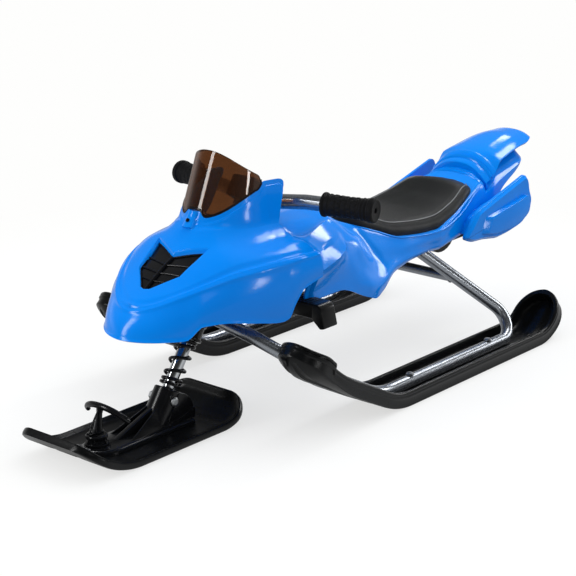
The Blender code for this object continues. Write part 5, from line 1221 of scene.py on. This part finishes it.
def spoiler_section(y, crest, half, drop):
    """From the side edge to the middle of the spoiler."""
    shares = [1.0 - k / 24.0 for k in range(25)]
    return [Vector((half * share, y, crest - drop * share ** 2.4)) for share in shares]


rows = []
for y, crest, share in lip_steps:
    rows.append(spoiler_section(y, crest - 0.0062, spoiler_half(y) * share, spoiler_drop(y)))
stations = [0.384, 0.387, 0.389, 0.3902, 0.391, 0.3918, 0.3932, 0.395]
stations += [0.398 + 0.0042 * k for k in range(27)] + [0.514 + 0.0026 * k for k in range(11)]
for y in stations + [0.542, 0.544, 0.5455, 0.5468, 0.548]:
    # The fine line across, and the skin behind it a little lower
    crest = spoiler_crest(y) + 0.0009 * bump_at(y, 0.391, 0.0024)
    crest -= 0.0006 * ramp(y, 0.392, 0.394) * (1.0 - ramp(y, 0.4, 0.43))
    rows.append(spoiler_section(y, crest, spoiler_half(y), spoiler_drop(y)))
spoiler_bm = lay_grid(rows)
mirror_half(spoiler_bm)
face_outwards(spoiler_bm, (0.0, 0.45, 0.1))
spoiler = to_piece("spoiler_skin", spoiler_bm, azure_abs, "chassis", "tail_spoiler", 36.0)
give_wall(spoiler, 0.0038, shell_rim)
print("spoiler:", len(spoiler.data.polygons), "faces")

# %% [markdown]
# ## Side pods
# Each pod is a thick moulded plate like a small side case. A few points give its outline; extrude
# makes its depth, inset_region its chamfer, and a second, smaller plate with a long slanted front
# makes the raised panel that flashes in the light.

# %% Side pods
pod_outline = mm((246, 169), (266.5, 160), (300, 158), (339.5, 152), (375, 155), (411.5, 161), (438.5, 177),
                 (444, 202.5), (435, 220), (433, 234), (424, 246.5), (341.5, 224), (284, 208.5))
panel_outline = mm((286, 170), (325, 165), (380, 166), (418, 178), (426, 198), (420, 213), (299, 196))


def rounded_plate(outline, x, corner, segments):
    """Two flat faces, one on the other, from an outline of (y, z) points at x with rounded corners."""
    bm = bmesh.new()
    bm.faces.new([bm.verts.new((x, y, z)) for y, z in outline])
    round_off(bm, bm.verts[:], corner, segments, "VERTICES")
    bmesh.ops.duplicate(bm, geom=bm.faces[:])
    return bm


def raise_face(bm, x, shrink=0.0):
    """Extrudes the first face outwards to x and pulls its outline in by shrink."""
    face = bm.faces[:][0]
    grown = bmesh.ops.extrude_face_region(bm, geom=[face])["geom"]
    bmesh.ops.delete(bm, geom=[face], context="FACES_ONLY")
    face = [f for f in grown if isinstance(f, bmesh.types.BMFace)][0]
    for v in face.verts:
        v.co.x = x
    if shrink > 0.0:
        bmesh.ops.inset_region(bm, faces=[face], thickness=shrink, use_even_offset=True)
    return face


edge_angle = 0.45
for word, sign in both_sides:
    bm = rounded_plate(pod_outline, 0.093, 0.0068, 4)
    for v in raise_face(bm, 0.0985, 0.0046).verts:
        v.co.x = 0.103
    round_off(bm, [e for e in bm.edges if e.calc_face_angle(0.0) > edge_angle], 0.0012, 3)
    panel = rounded_plate(panel_outline, 0.1015, 0.004, 3)
    for v in raise_face(panel, 0.11).verts:
        # The panel's long slanted front
        if v.co.y < 0.31:
            v.co.y += 0.015
            v.co.z -= 0.001
    round_off(panel, [e for e in panel.edges if e.calc_face_angle(0.0) > edge_angle], 0.0009, 3)
    pour(bm, panel)
    # The stub that joins the pod to the body
    stub = mm((262, 172), (340, 166), (405, 178), (400, 214), (340, 208), (285, 194))
    thick_plate(bm, [(0.07, y, z) for y, z in stub], (0.02, 0.0, 0.0), 0.003)
    if sign < 0.0:
        bmesh.ops.scale(bm, vec=(-1.0, 1.0, 1.0), verts=bm.verts)
    closed(bm)
    pod = to_piece("side_pod_skin_" + word, bm, azure_abs, "chassis", "side_pod_" + word, 30.0)
print("two side pods of", len(pod.data.polygons), "faces")

# %% [markdown]
# ## Windshield
# The windshield is a bent strip of smoked polycarbonate that stands in a black rubber channel on the
# collar. It follows the same lines as the collar, so its grid is laid on the collar's own function,
# and its top edge falls from the middle to the ears. The rubber runs up its rear ends too.

# %% Shield and its rubber channel
def channel_low(degrees):
    """Height of the channel's foot on the collar."""
    return collar_top(degrees) + 0.0003


def shield_high(degrees):
    """Top edge: highest in front, with rounded rear corners."""
    low = channel_low(degrees) + 0.0025
    fall = math.cos(math.radians(min(abs(degrees), 90.0))) ** 1.15
    corner = max(abs(degrees) - 79.5, 0.0) / 5.5
    high = max(0.349 + 0.04 * fall, low + 0.0055)
    return high - 0.005 * (1.0 - math.sqrt(max(1.0 - corner * corner, 0.0)))


inset = -0.0017
rows = []
for spot in [-85.0 + 170.0 * k / 120.0 for k in range(121)]:
    low = channel_low(abs(spot)) + 0.0018
    high = shield_high(spot)
    row = []
    for k in range(17):
        p = collar_point(abs(spot), low + (high - low) * k / 16.0, inset + 0.00125)
        row.append(Vector((math.copysign(p.x, spot), p.y, p.z)))
    rows.append(row)
bm = lay_grid(rows)
face_outwards(bm, (0.0, -0.2, 0.34))
shield = to_piece("windshield_sheet", bm, smoked_polycarbonate, "chassis", "windshield", 60.0)
give_wall(shield, 0.0025, 0.0006)

# The channel: a rounded rubber strip along the foot, turning up both rear ends
top, foot = shield_high(85.0) - 0.0008, channel_low(85.0) + 0.0014
line = [collar_point(85.4, top - (top - foot) * k / 8.0, inset) for k in range(9)]
for spot in [84.0 - 2.0 * k for k in range(43)]:
    line.append(collar_point(spot, channel_low(spot) + 0.0012, inset))
line = [Vector((-p.x, p.y, p.z)) for p in line] + line[-2::-1]
bm = bmesh.new()
add_bar(bm, line, 0.0021, sides=12)
channel = to_piece("shield_channel", bm, black_nylon, "chassis", "shield_gasket", 50.0)
print("windshield:", len(shield.data.polygons), "faces; channel:", len(channel.data.polygons), "faces")

# %% [markdown]
# ## Front ski
# The front ski is wider and flatter than the rear ones. Its edge is rolled up into a rounded rim,
# and the nose and the tail curl up. The same sweep along a path makes it. It rides on the body that
# pitches about the pivot bolt.

# %% Front ski
front_nose, front_tail, front_half_width, front_corner = -0.575, -0.25, 0.078, 0.036
front_path = ski_path(front_nose, (-0.475, 0.13, 42.0), (-0.312, 0.075, 44.0))
rows = []
for y in ski_stations(front_nose, front_tail, front_corner, 0.0055):
    w = plan_half(y, front_nose, front_tail, front_half_width, front_corner)
    end = min(y - front_nose, front_tail - y)
    groove = 0.003 * ramp(end, 0.01, 0.05)
    rim = 0.011
    bed = 0.005 + (rim - 0.005) * (1.0 - ramp(end, 0.002, 0.0085))
    inner = max(w - 0.0062, w * 0.5)
    right = [(0.0, 0.0), (w * 0.16, 0.0), (w * 0.19, groove), (w * 0.43, groove), (w * 0.46, 0.0),
             (w * 0.8, 0.0), (w - 0.004, 0.0), (w - 0.0012, 0.001), (w, 0.0036), (w, rim - 0.003),
             (w - 0.0009, rim - 0.0009), (w - 0.003, rim), (inner + 0.0008, max(rim - 0.0011, bed)),
             (inner - 0.0012, bed + (rim - bed) * 0.35), (inner - 0.0045, bed + (rim - bed) * 0.06),
             (inner * 0.8, bed), (inner * 0.4, bed)]
    section = right + [(0.0, bed)] + [(-x, up) for x, up in reversed(right[1:])]
    row = [on_ski(front_path, x, y, up) for x, up in section]
    rows.append(row + [row[0].copy()])
bm = swept(rows)
front_ski = to_piece("front_ski_plate", bm, satin_black_pp, "front_ski_assembly", "front_ski", 40.0)
print("front ski:", len(front_ski.data.polygons), "faces")

# %% [markdown]
# The bracket is moulded black plastic: a long base plate with a chamfered edge, a round housing
# that leans back with the strut and takes its foot, a half-round cheek behind it with the pivot
# bolt through, and a pair of thin gussets that run forward to the reel's seat.

# %% Ski bracket
pivot = Vector((0.0, -0.355, 0.044))
strut = Vector((0.0, 0.554844, 0.831954))
bracket_bm = bmesh.new()
rows = []
for k in range(33):
    y = -0.531 + 0.209 * k / 32.0
    w = 0.0145 + 0.0155 * ramp(y, -0.531, -0.47)
    ends = min(k, 32 - k)
    top = 0.0053 + (0.0066 if ends > 0 else 0.0052)
    w -= 0.0012 if ends == 0 else 0.0
    right = [(0.0, top), (w - 0.0034, top), (w - 0.0022, top - 0.0004), (w, top - 0.0026),
             (w + 0.0004, 0.0046)]
    section = [(-x, up) for x, up in reversed(right[1:])] + right
    row = [on_ski(front_path, x, y, up) for x, up in section]
    rows.append(row + [row[0].copy()])
pour(bracket_bm, swept(rows, 0.00001))
# Housing, with a rounded top edge and a recess round the strut
foot = -(pivot.z - 0.0085) / strut.z
housing = [(0.0, foot), (0.0212, foot)]
housing += mm((20.2, -20), (19.8, 12.8), (18.6, 14.2), (15, 14.5), (13.8, 13.8), (13.6, 10), (0, 10))
add_turned(bracket_bm, housing, pivot, strut, steps=64)
# Cheek: a half-round plate as wide as the housing, its edge well rounded
cheek = [Vector((-0.0194, -0.351 + 0.037 * math.cos(a), max(0.018 + 0.037 * math.sin(a), 0.01)))
         for a in [math.radians(-14.0 + 118.0 * k / 22.0) for k in range(23)]]
cheek.append(Vector((-0.0194, -0.372, 0.01)))
thick_plate(bracket_bm, cheek, (0.0388, 0.0, 0.0), 0.0022, 3)
thick_plate(bracket_bm, [p + Vector((-0.003, 0.0, 0.0)) for p in cheek if p.z < 0.0285], (0.0448, 0.0, 0.0),
            0.0012, 2)
# Gussets: two thin webs that fan out from the housing to the base
for side in (-1.0, 1.0):
    web = [(side * x, y, z) for x, y, z in mm((4.5, -364, 46), (20, -445, 10.5), (20, -364, 10.5))]
    thick_plate(bracket_bm, web, (side * 0.0026, 0.0, 0.0), 0.0006, 2)
ridge = mm((-4.5, -364, 45.2), (-4.5, -456, 11), (-4.5, -364, 11))
thick_plate(bracket_bm, ridge, (0.009, 0.0, 0.0), 0.001, 2)
# Seat of the reel
reel_y = -0.488
add_turned(bracket_bm, mm((0, 9.8), (19, 9.8), (18.7, 15), (17.7, 15.9), (0, 16)),
           (0.0, reel_y, 0.0), (0.0, 0.0, 1.0), steps=48)
for v in bracket_bm.verts:
    v.co.z = max(v.co.z, 0.0053)
bracket = to_piece("ski_bracket_body", bracket_bm, black_nylon, "front_ski_assembly", "ski_bracket", 35.0)
print("bracket:", len(bracket.data.polygons), "faces")

# %% [markdown]
# The tow cord winds on a stepped drum that stands on the bracket's nose, and its pull is a small
# arched handle on a tapered stem with a thin brace in front. The drum rides with the ski and the
# handle on its own body, because it is drawn up when the sled is towed.

# %% Reel and tow handle
reel_bm = bmesh.new()
add_turned(reel_bm, mm((0, 0), (16.5, 0), (16.8, 0.6), (16.8, 3), (16.2, 3.6), (13.6, 4), (13.5, 9.2),
                       (15, 10), (15.4, 10.6), (15.4, 13.8), (14.8, 14.6), (12, 15.2), (11.8, 16.4),
                       (0, 16.6)),
           (0.0, reel_y, 0.0163), (0.0, 0.0, 1.0), steps=48)
for k in range(6):
    a = 2.0 * math.pi * (k + 0.25) / 6.0
    out = Vector((math.cos(a), math.sin(a), 0.0))
    across = Vector((-math.sin(a), math.cos(a), 0.0)) * 0.0011
    root = Vector((0.0, reel_y, 0.02)) + out * 0.0132
    tip = Vector((0.0, reel_y, 0.02)) + out * 0.0158
    up = Vector((0.0, 0.0, 0.0068))
    thick_plate(reel_bm, [root - across, tip - across, root - across + up], across * 2.0)
reel = to_piece("tow_reel", reel_bm, black_nylon, "front_ski_assembly", "reel_housing", 35.0)

handle_bm = bmesh.new()
arch = []
for k in range(41):
    a = math.radians(-80.0 + 160.0 * k / 40.0)
    bow = 1.0 - math.cos(a)
    across = 0.0395 * math.sin(a) / math.sin(math.radians(80.0))
    arch.append(Vector((across, -0.48 + 0.018 * bow, 0.07 - 0.022 * bow)))
add_bar(handle_bm, arch, lambda u: 0.0044 - 0.001 * (abs(u - 0.5) * 2.0) ** 6, sides=20)
stem_low, stem_high = Vector((0.0, -0.486, 0.0338)), Vector((0.0, -0.48, 0.0695))
add_bar(handle_bm, [stem_low.lerp(stem_high, k / 12.0) for k in range(13)],
        lambda u: 0.005 + 0.003 * (1.0 - u) ** 2.5 + 0.0016 * max(u - 0.75, 0.0) * 4.0, sides=24,
        flat=(Vector((0.0, 1.0, 0.0)), 0.62))
add_turned(handle_bm, mm((0, 0), (8.8, 0), (9, 0.6), (9, 2.2), (8.2, 3), (0, 3)),
           (0.0, -0.486, 0.0333), (0.0, 0.0, 1.0), steps=32)
brace_low, brace_high = Vector((0.0, -0.5015, 0.035)), Vector((0.0, -0.4835, 0.064))
bent = [Vector((0.0, -0.0016 * math.sin(math.pi * k / 8.0), 0.0)) for k in range(9)]
add_bar(handle_bm, [brace_low.lerp(brace_high, k / 8.0) + bent[k] for k in range(9)], 0.0014, sides=12)
brace_foot = mm((-3.6, -503.5, 33.5), (3.6, -503.5, 33.5), (4.2, -488, 33.5), (-4.2, -488, 33.5))
thick_plate(handle_bm, brace_foot, (0.0, 0.0, 0.0026), 0.0007, 2)
handle = to_piece("tow_pull", handle_bm, black_nylon, "tow_pull", "tow_handle", 40.0)
print("reel:", len(reel.data.polygons), "faces, handle:", len(handle.data.polygons))

# %% [markdown]
# ## Steering strut
# The steering axis leans back by 33.7 degrees. A chromed shaft stands in the front ski's bracket and
# slides in the steering tube, and an open coil spring sits between a ring on the shaft and a cup on
# the tube. Such round parts are all turned: a profile of (radius, distance) pairs carried round the
# axis. Small rounded corners in the profile give the bright rings that a sharp corner would lose.

# %% Shaft, ring, cup, bushes and tubes on the axis
lean = math.radians(33.7)
steer_axis = Vector((0.0, math.sin(lean), math.cos(lean)))
steer_back = Vector((0.0, steer_axis.z, -steer_axis.y))


def on_axis(t, behind=0.0, side=0.0):
    """A point at a distance t up the steering axis from the ski's pivot."""
    return pivot + steer_axis * t + steer_back * behind + Vector((side, 0.0, 0.0))


def rounded_ring(inner, outer, low, high, corner):
    """A ring's profile with its two outer corners rounded."""
    turns = [math.radians(30.0 * k) for k in range(4)]
    foot = [(outer - corner + corner * math.sin(a), low + corner - corner * math.cos(a)) for a in turns]
    head = [(outer - corner + corner * math.cos(a), high - corner + corner * math.sin(a)) for a in turns]
    return [(inner, low)] + foot + head + [(inner, high)]


shaft = mm((0, -12), (8.6, -12), (9.2, -11.2), (9.2, 164), (8.4, 165), (0, 165))
cup = rounded_ring(0.01, 0.0195, 0.0923, 0.0965, 0.0011)[:-1]
cup += mm((17.8, 96.8), (17.5, 97.5), (17.5, 112), (16.8, 113.9), (12.8, 114.4), (12.8, 96.6), (10, 96.6))
spring_ring = rounded_ring(0.0095, 0.016, 0.0202, 0.0242, 0.0012)
lower_bush = rounded_ring(0.0129, 0.0195, 0.1147, 0.1177, 0.0009)
upper_bush = rounded_ring(0.0129, 0.0195, 0.2323, 0.2353, 0.0009)
steering_tube = rounded_ring(0.0099, 0.0125, 0.0966, 0.3385, 0.0006)
head_tube = rounded_ring(0.015, 0.0175, 0.118, 0.232, 0.0008)
turned_parts = (("chrome_shaft", shaft, hard_chrome, "fork", "fork_shaft"),
                ("lower_spring_seat", spring_ring, black_nylon, "fork", "spring_ring"),
                ("upper_spring_seat", cup, black_nylon, "steering", "spring_cup"),
                ("lower_bush", lower_bush, black_nylon, "chassis", "bush_lower"),
                ("upper_bush", upper_bush, black_nylon, "chassis", "bush_upper"),
                ("steering_tube_skin", steering_tube, silver_powder_coat, "steering", "steering_tube"),
                ("head_tube_skin", head_tube, silver_powder_coat, "chassis", "head_tube"))
for name, profile, look, body, node in turned_parts:
    bm = bmesh.new()
    add_turned(bm, profile, on_axis(0.0), steer_axis, 48)
    to_piece(name, bm, look, body, node, 40.0)
print("turned", len(turned_parts), "round parts of the strut")

# %% [markdown]
# A coil spring is one bar along a helix. Its last half turns are wound flat, as on a real spring with
# ground ends, so it sits on its seats. It rides on the steering, where its upper end stays.

# %% The coil spring
turns, wire, coil_radius, coil_top = 5.4, 0.0023, 0.0135, 0.092
low, high = 0.0245 + wire, coil_top - wire
path = []
for k in range(int(turns * 36) + 1):
    turn = k / 36.0
    share = smooth_value([(0.0, 0.0), (0.75, 0.03), (turns - 0.75, 0.97), (turns, 1.0)], turn)
    a = 2.0 * math.pi * turn
    path.append(on_axis(low + (high - low) * share, coil_radius * math.sin(a), coil_radius * math.cos(a)))
bm = bmesh.new()
add_bar(bm, path, wire, sides=14)
coil = to_piece("coil_spring", bm, black_nylon, "steering", "spring", 60.0)
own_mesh(coil)
print("spring:", len(coil.data.polygons), "faces")

# %% [markdown]
# ## Handlebar and grips
# The bar is one bent tube held in a two-part clamp. Each rubber grip has a flange at both ends, three
# thin rings and a field of raised soft blocks under the palm, and a small vent hole in its end.
# The blocks are made by pushing rows of the grip's grid outwards, which keeps it one closed skin.

# %% Handlebar and clamp
clamp_t = 0.3265
bar_middle = on_axis(clamp_t, behind=0.03)
sweep = math.radians(12.5)


def bar_half(sign):
    """Half of the bar's route, from the clamp to the grip's end."""
    slope = math.tan(sweep)
    return [(bar_middle + Vector((sign * x, (x - 0.03) * slope, up)), bend)
            for x, up, bend in ((0.03, 0.0, 0.05), (0.082, 0.005, 0.06), (0.1865, 0.005, 0.0))]


bm = bmesh.new()
add_bar(bm, rounded_route(bar_half(-1.0)[::-1] + bar_half(1.0), 3.0), 0.011, sides=32)
bar = to_piece("handlebar_tube", bm, silver_powder_coat, "steering", "handlebar", 45.0)

# The clamp: a block split across the bar
bm = bmesh.new()
for behind, half_depth in ((-0.0036, 0.0148), (0.0288, 0.0166)):
    corners = []
    for across, up in ((-0.022, -0.0168), (0.022, -0.0168), (0.022, 0.0168), (-0.022, 0.0168)):
        corners.append(on_axis(clamp_t + up, behind=behind - half_depth, side=across))
    thick_plate(bm, corners, steer_back * (half_depth * 2.0), bevel=0.0042, segments=5)
clamp = to_piece("clamp_block", bm, black_nylon, "steering", "handlebar_clamp", 40.0)
print("bar:", len(bar.data.polygons), "faces, clamp:", len(clamp.data.polygons))

# %% Grips
def grip_radius(along, turn):
    """Radius of a grip; along runs from the inner flange (0) to the end (0.082)."""
    low = 0.016 - 0.001 * bump_at(along, 0.04, 0.034)
    # Raised blocks: five rows round the palm, staggered, with soft edges
    row = (along - 0.016) / 0.0082
    column = turn / (2.0 * math.pi) * 11.0 + 0.5 * (int(row) % 2)
    inside = ramp(along, 0.015, 0.0175) * (1.0 - ramp(along, 0.0575, 0.06))
    u = abs((row % 1.0) - 0.5) * 2.0
    v = abs((column % 1.0) - 0.5) * 2.0
    block = (1.0 - ramp(u, 0.52, 0.8)) * (1.0 - ramp(v, 0.5, 0.82))
    rings = bump_at(along, 0.0631, 0.0021) + bump_at(along, 0.0686, 0.0021)
    rings += 0.8 * bump_at(along, 0.0105, 0.0021)
    return low + 0.00085 * block * inside + 0.001 * rings


grip_end = 0.0823
grip_sides = 110
for word, sign in both_sides:
    out = Vector((sign * math.cos(sweep), math.sin(sweep), 0.0))
    end = bar_half(sign)[-1][0]
    x, y, z = frame_along(out)
    profile = mm((11.3, 0), (17.1, 0), (17.8, 0.4), (18, 1.2), (18, 2.8), (17.8, 3.6), (17.1, 4.2),
                 (16.3, 4.6))
    shape = [(lambda a, r=r: r, s) for r, s in profile]
    shape += [(lambda a, s=s: grip_radius(s, a), s) for s in [0.0052 + 0.0006 * k for k in range(110)]]
    tail_profile = mm((16, 87.6), (16.8, 88), (17.8, 88.8), (18, 90), (18, 94.8), (17.8, 95.8), (17.2, 96.6),
                      (16, 97.4), (14.8, 97.7), (13.6, 97.4), (12.6, 97.1), (6, 97.1), (4.6, 96.9),
                      (4, 96.4), (3.9, 94), (0, 94))
    shape += [(lambda a, r=r: r, s + grip_end - 0.0977) for r, s in tail_profile]
    rows = []
    for radius, along in shape:
        centre = end + out * (along - grip_end + 0.0041)
        turns = [2.0 * math.pi * (k % grip_sides) / grip_sides for k in range(grip_sides + 1)]
        rows.append([centre + (x * math.cos(a) + y * math.sin(a)) * radius(a) for a in turns])
    bm = lay_grid(rows)
    closed(bm)
    cap_ends(bm)
    closed(bm)
    grip = to_piece("grip_skin_" + word, bm, moulded_rubber, "steering", "grip_" + word, 38.0)
print("two grips of", len(grip.data.polygons), "faces")

# %% [markdown]
# ## Tube frame
# Each side of the frame is one steel tube: from the head tube down to the ski, along the ski in its
# channel, and up the leg to the seat rail. Its route is a few points with a bend radius each, as a
# tube bender is set, and a ring is carried along it.

# %% Main tubes, rails, crossbar and peg bar
# The tube's axis above the ski's sole: the channel's floor, the radius and a gap
tube_radius = 0.01
channel_z = 0.006 + tube_radius + 0.00075
rail_x, rail_z = 0.062, 0.176


def clear_of_head(route, away=0.016):
    """Ends a route a tube wall outside the steering axis."""
    (end, bend), (before, _) = route[0], route[1]
    step = (before - end).normalized()
    across = (step - steer_axis * step.dot(steer_axis)).length
    return [(end + step * (away / across), bend)] + route[1:]


def main_route(sign):
    """Head tube, down to the ski, along it, up the leg and forward under the seat."""
    x = sign * ski_x
    curl = math.radians(curl_degrees)
    bend_y = curl_y - curl_radius * math.tan(curl / 2.0)
    drop = on_ski(rear_path, x, -0.236, channel_z)
    return [(on_axis(0.136), 0.0), (Vector((sign * 0.1, -0.277, 0.139)), 0.06), (drop, 0.03),
            (Vector((x, bend_y + channel_z * math.tan(curl / 2.0), channel_z)), curl_radius - channel_z),
            (Vector((x, 0.314, channel_z)), 0.034), (Vector((sign * rail_x, 0.147, rail_z)), 0.036),
            (Vector((sign * rail_x, 0.08, rail_z)), 0.0)]


def seat_route(sign):
    """From the head tube back to the leg's end."""
    return [(on_axis(0.178, side=sign * 0.0115), 0.0), (Vector((sign * rail_x, -0.12, rail_z)), 0.08),
            (Vector((sign * rail_x, 0.0797, rail_z)), 0.0)]


def add_bead(bm, centre, direction, radius, size):
    """A weld bead: a thin ring with a slight ripple, as a welder's stacked coins."""
    x, y, z = frame_along(direction)
    ring = []
    for k in range(73):
        a = 2.0 * math.pi * (k % 72) / 72.0
        ring.append(centre + (x * math.cos(a) + y * math.sin(a)) * (radius + 0.00025 * math.cos(18.0 * a)))
    add_bar(bm, ring, size, sides=10)


for word, sign in both_sides:
    for name, node, route in (("main_tube_", "frame_tube_", clear_of_head(main_route(sign))),
                              ("rail_tube_", "seat_rail_", clear_of_head(seat_route(sign), 0.015))):
        bm = bmesh.new()
        add_bar(bm, rounded_route(route, 4.0), tube_radius, sides=28)
        tube = to_piece(name + word, bm, silver_powder_coat, "chassis", node + word, 45.0)
        print(tube.name, len(tube.data.polygons), "faces")

# %% [markdown]
# The rear crossbar is a plain tube between the legs, with a weld bead round each end. The peg bar
# lies under the rails and ends inside the foot pegs. A peg is a moulded box arm with a flared end
# plate that keeps the foot from slipping off, and shallow ribs across its top.

# %% Crossbar, peg bar and weld beads
leg = rounded_route(main_route(1.0), 4.0)
cross_y = 0.212
spot = [a.lerp(b, (cross_y - a.y) / (b.y - a.y)) for a, b in zip(leg[:-1], leg[1:])
        if (a.y - cross_y) * (b.y - cross_y) <= 0.0 and b.z > a.z + 1e-4][0]
bm = bmesh.new()
reach = spot.x - 0.0094
cross_radius = 0.008
add_bar(bm, [Vector((x, spot.y, spot.z)) for x in (-reach, 0.0, reach)], cross_radius, sides=24)
for sign in (1.0, -1.0):
    add_bead(bm, Vector((sign * (reach - 0.0006), spot.y, spot.z)), (1.0, 0.0, 0.0), 0.0084, 0.0014)
crossbar = to_piece("crossbar_tube", bm, silver_powder_coat, "chassis", "rear_crossbar", 45.0)

# The bar keeps the height of the CAD's
cad = nodes["peg_bar"]
low = min((cad.matrix_world @ v.co).z for v in cad.data.vertices)
peg_z = low + cross_radius
bm = bmesh.new()
add_bar(bm, [Vector((x, -0.175, peg_z)) for x in (-0.1418, 0.0, 0.1418)], cross_radius, sides=24)
peg_tube = to_piece("peg_bar_tube", bm, silver_powder_coat, "chassis", "peg_bar", 45.0)
print("crossbar at z", round(spot.z, 4), "and peg bar at z", round(peg_z, 4))

# %% Foot pegs
peg_depth = (0.0, 0.032, 0.0)
for word, sign in both_sides:
    low, top = peg_z - 0.013, peg_z + 0.0094
    bm = bmesh.new()
    arm = [(0.0982, low), (0.138, low), (0.14, top), (0.0982, top)]
    thick_plate(bm, [(sign * x, -0.191, z) for x, z in arm], peg_depth, 0.0024, 4)
    guard = [(0.1352, low - 0.0005), (0.1512, low - 0.0138), (0.1598, low - 0.0112), (0.153, top - 0.006),
             (0.147, top), (0.1366, top)]
    thick_plate(bm, [(sign * x, -0.191, z) for x, z in guard], peg_depth, 0.0026, 4)
    for k in range(5):
        x = 0.103 + 0.0066 * k
        rib = [(x, top - 0.0012), (x + 0.0026, top - 0.0012), (x + 0.0026, top + 0.0009), (x, top + 0.0009)]
        thick_plate(bm, [(sign * a, -0.188, z) for a, z in rib], (0.0, 0.026, 0.0), 0.0006, 2)
    peg = to_piece("peg_arm_" + word, bm, satin_black_pp, "chassis", "foot_peg_" + word, 40.0)
print("two pegs of", len(peg.data.polygons), "faces")

# %% [markdown]
# ## Seat
# The seat is foam on a moulded base, covered in black leathercloth: a long top panel, a side band,
# and a thin piped seam between them. Its top is nearly flat across with a soft crown, and the side
# band bulges a little where the foam presses on it. The section below goes once round the pad and
# is swept along the saddle. Small waves on its sides and top are what a stretched cover has, and the
# cord of the piping stands a little proud between them.

# %% Seat pad
pad_front_y, pad_rear_y = -0.034, 0.346


def pad_half(y):
    """Half width of the pad in plan: a narrow rounded nose, a wide middle, a rounded back."""
    side = smooth_value(mm((-52, 60), (-30, 63), (10, 69), (40, 73), (100, 79.5), (190, 80), (250, 74.2),
                           (320, 58.2), (350, 50)), y)
    nose = 1.0 - min((y - pad_front_y) / 0.05, 1.0)
    tail = 1.0 - min((pad_rear_y - y) / 0.034, 1.0)
    side *= 0.3 + 0.7 * math.sqrt(max(1.0 - nose * nose, 0.0))
    return side * (0.46 + 0.54 * math.sqrt(max(1.0 - tail * tail, 0.0)))


def pad_bed(y):
    """Height of the saddle under the pad."""
    return smooth_value(rim_z, y) - 0.0056


def pad_heights(y):
    """Height of the seam and of the crown above the saddle."""
    ends = min(ramp(y, pad_front_y - 0.004, pad_front_y + 0.045),
               1.0 - ramp(y, pad_rear_y - 0.055, pad_rear_y + 0.008))
    return 0.0085 + 0.0175 * ends, 0.003 + 0.0035 * ends


rows = []
pad_ys = [pad_front_y + 0.05 * (1.0 - math.cos(math.radians(90.0 * k / 14.0))) for k in range(15)]
pad_ys += [0.016 + 0.296 * k / 74.0 for k in range(1, 75)]
pad_ys += [pad_rear_y - 0.034 * (1.0 - math.cos(math.radians(90.0 * k / 11.0))) for k in range(10, -1, -1)]
for y in pad_ys:
    w = pad_half(y)
    base = pad_bed(y)
    seam, crown = pad_heights(y)
    pipe = 0.0018 * (1.0 - ramp(y, pad_rear_y - 0.014, pad_rear_y - 0.003))
    pipe *= ramp(y, pad_front_y, pad_front_y + 0.004)
    wave = 0.00035 * math.sin(y * 95.0) * math.sin(y * 41.0 + 1.0)
    half = [(0.0, 0.0), (w * 0.55, 0.0), (w - 0.006, 0.0), (w - 0.0016, 0.0006), (w + 0.0002, seam * 0.16),
            (w + 0.001 + wave, seam * 0.34), (w + 0.0009 + wave, seam * 0.52),
            (w - 0.0004 + wave, seam * 0.68), (w - 0.0026, seam * 0.81), (w - 0.005, seam * 0.9),
            (w - 0.0068, seam * 0.945), (w - 0.0078, seam * 0.972), (w - 0.0079, seam + 0.5 * pipe),
            (w - 0.0089, seam + pipe), (w - 0.0099, seam + 0.5 * pipe), (w - 0.0106, seam - 0.0003)]
    inner = w - 0.0112
    for f in (1.0, 0.965, 0.92, 0.86, 0.78, 0.68, 0.56, 0.43, 0.29, 0.15, 0.0):
        swell = crown * (1.0 - f ** 2.3) + 0.0009 * ramp(1.0 - f, 0.0, 0.1)
        ripple = 0.0003 * math.sin(f * 9.0 + y * 60.0) * math.sin(y * 33.0) * (1.0 - f)
        half.append((inner * f, seam - 0.0002 + swell + ripple))
    section = half + [(-x, up) for x, up in reversed(half[:-1])]
    rows.append([Vector((x, y, base + up)) for x, up in section])
bm = swept(rows)
pad = to_piece("seat_cushion", bm, grained_vinyl, "chassis", "seat_pad", 60.0)
# The piped seam gets its own pale grey cloth, a painted highlight along the seam
pad.data.materials.append(piping_painted_highlight)
for face in pad.data.polygons:
    c = face.center
    edge = pad_half(c.y) - 0.0089
    if abs(abs(c.x) - edge) < 0.0014 and c.z > pad_bed(c.y) + pad_heights(c.y)[0] + 0.0002 and c.y > -0.03:
        face.material_index = 1
widest = 2.0 * max(pad_half(y) for y in pad_ys)
print("seat pad:", len(pad.data.polygons), "faces, widest", round(1000 * widest), "mm")
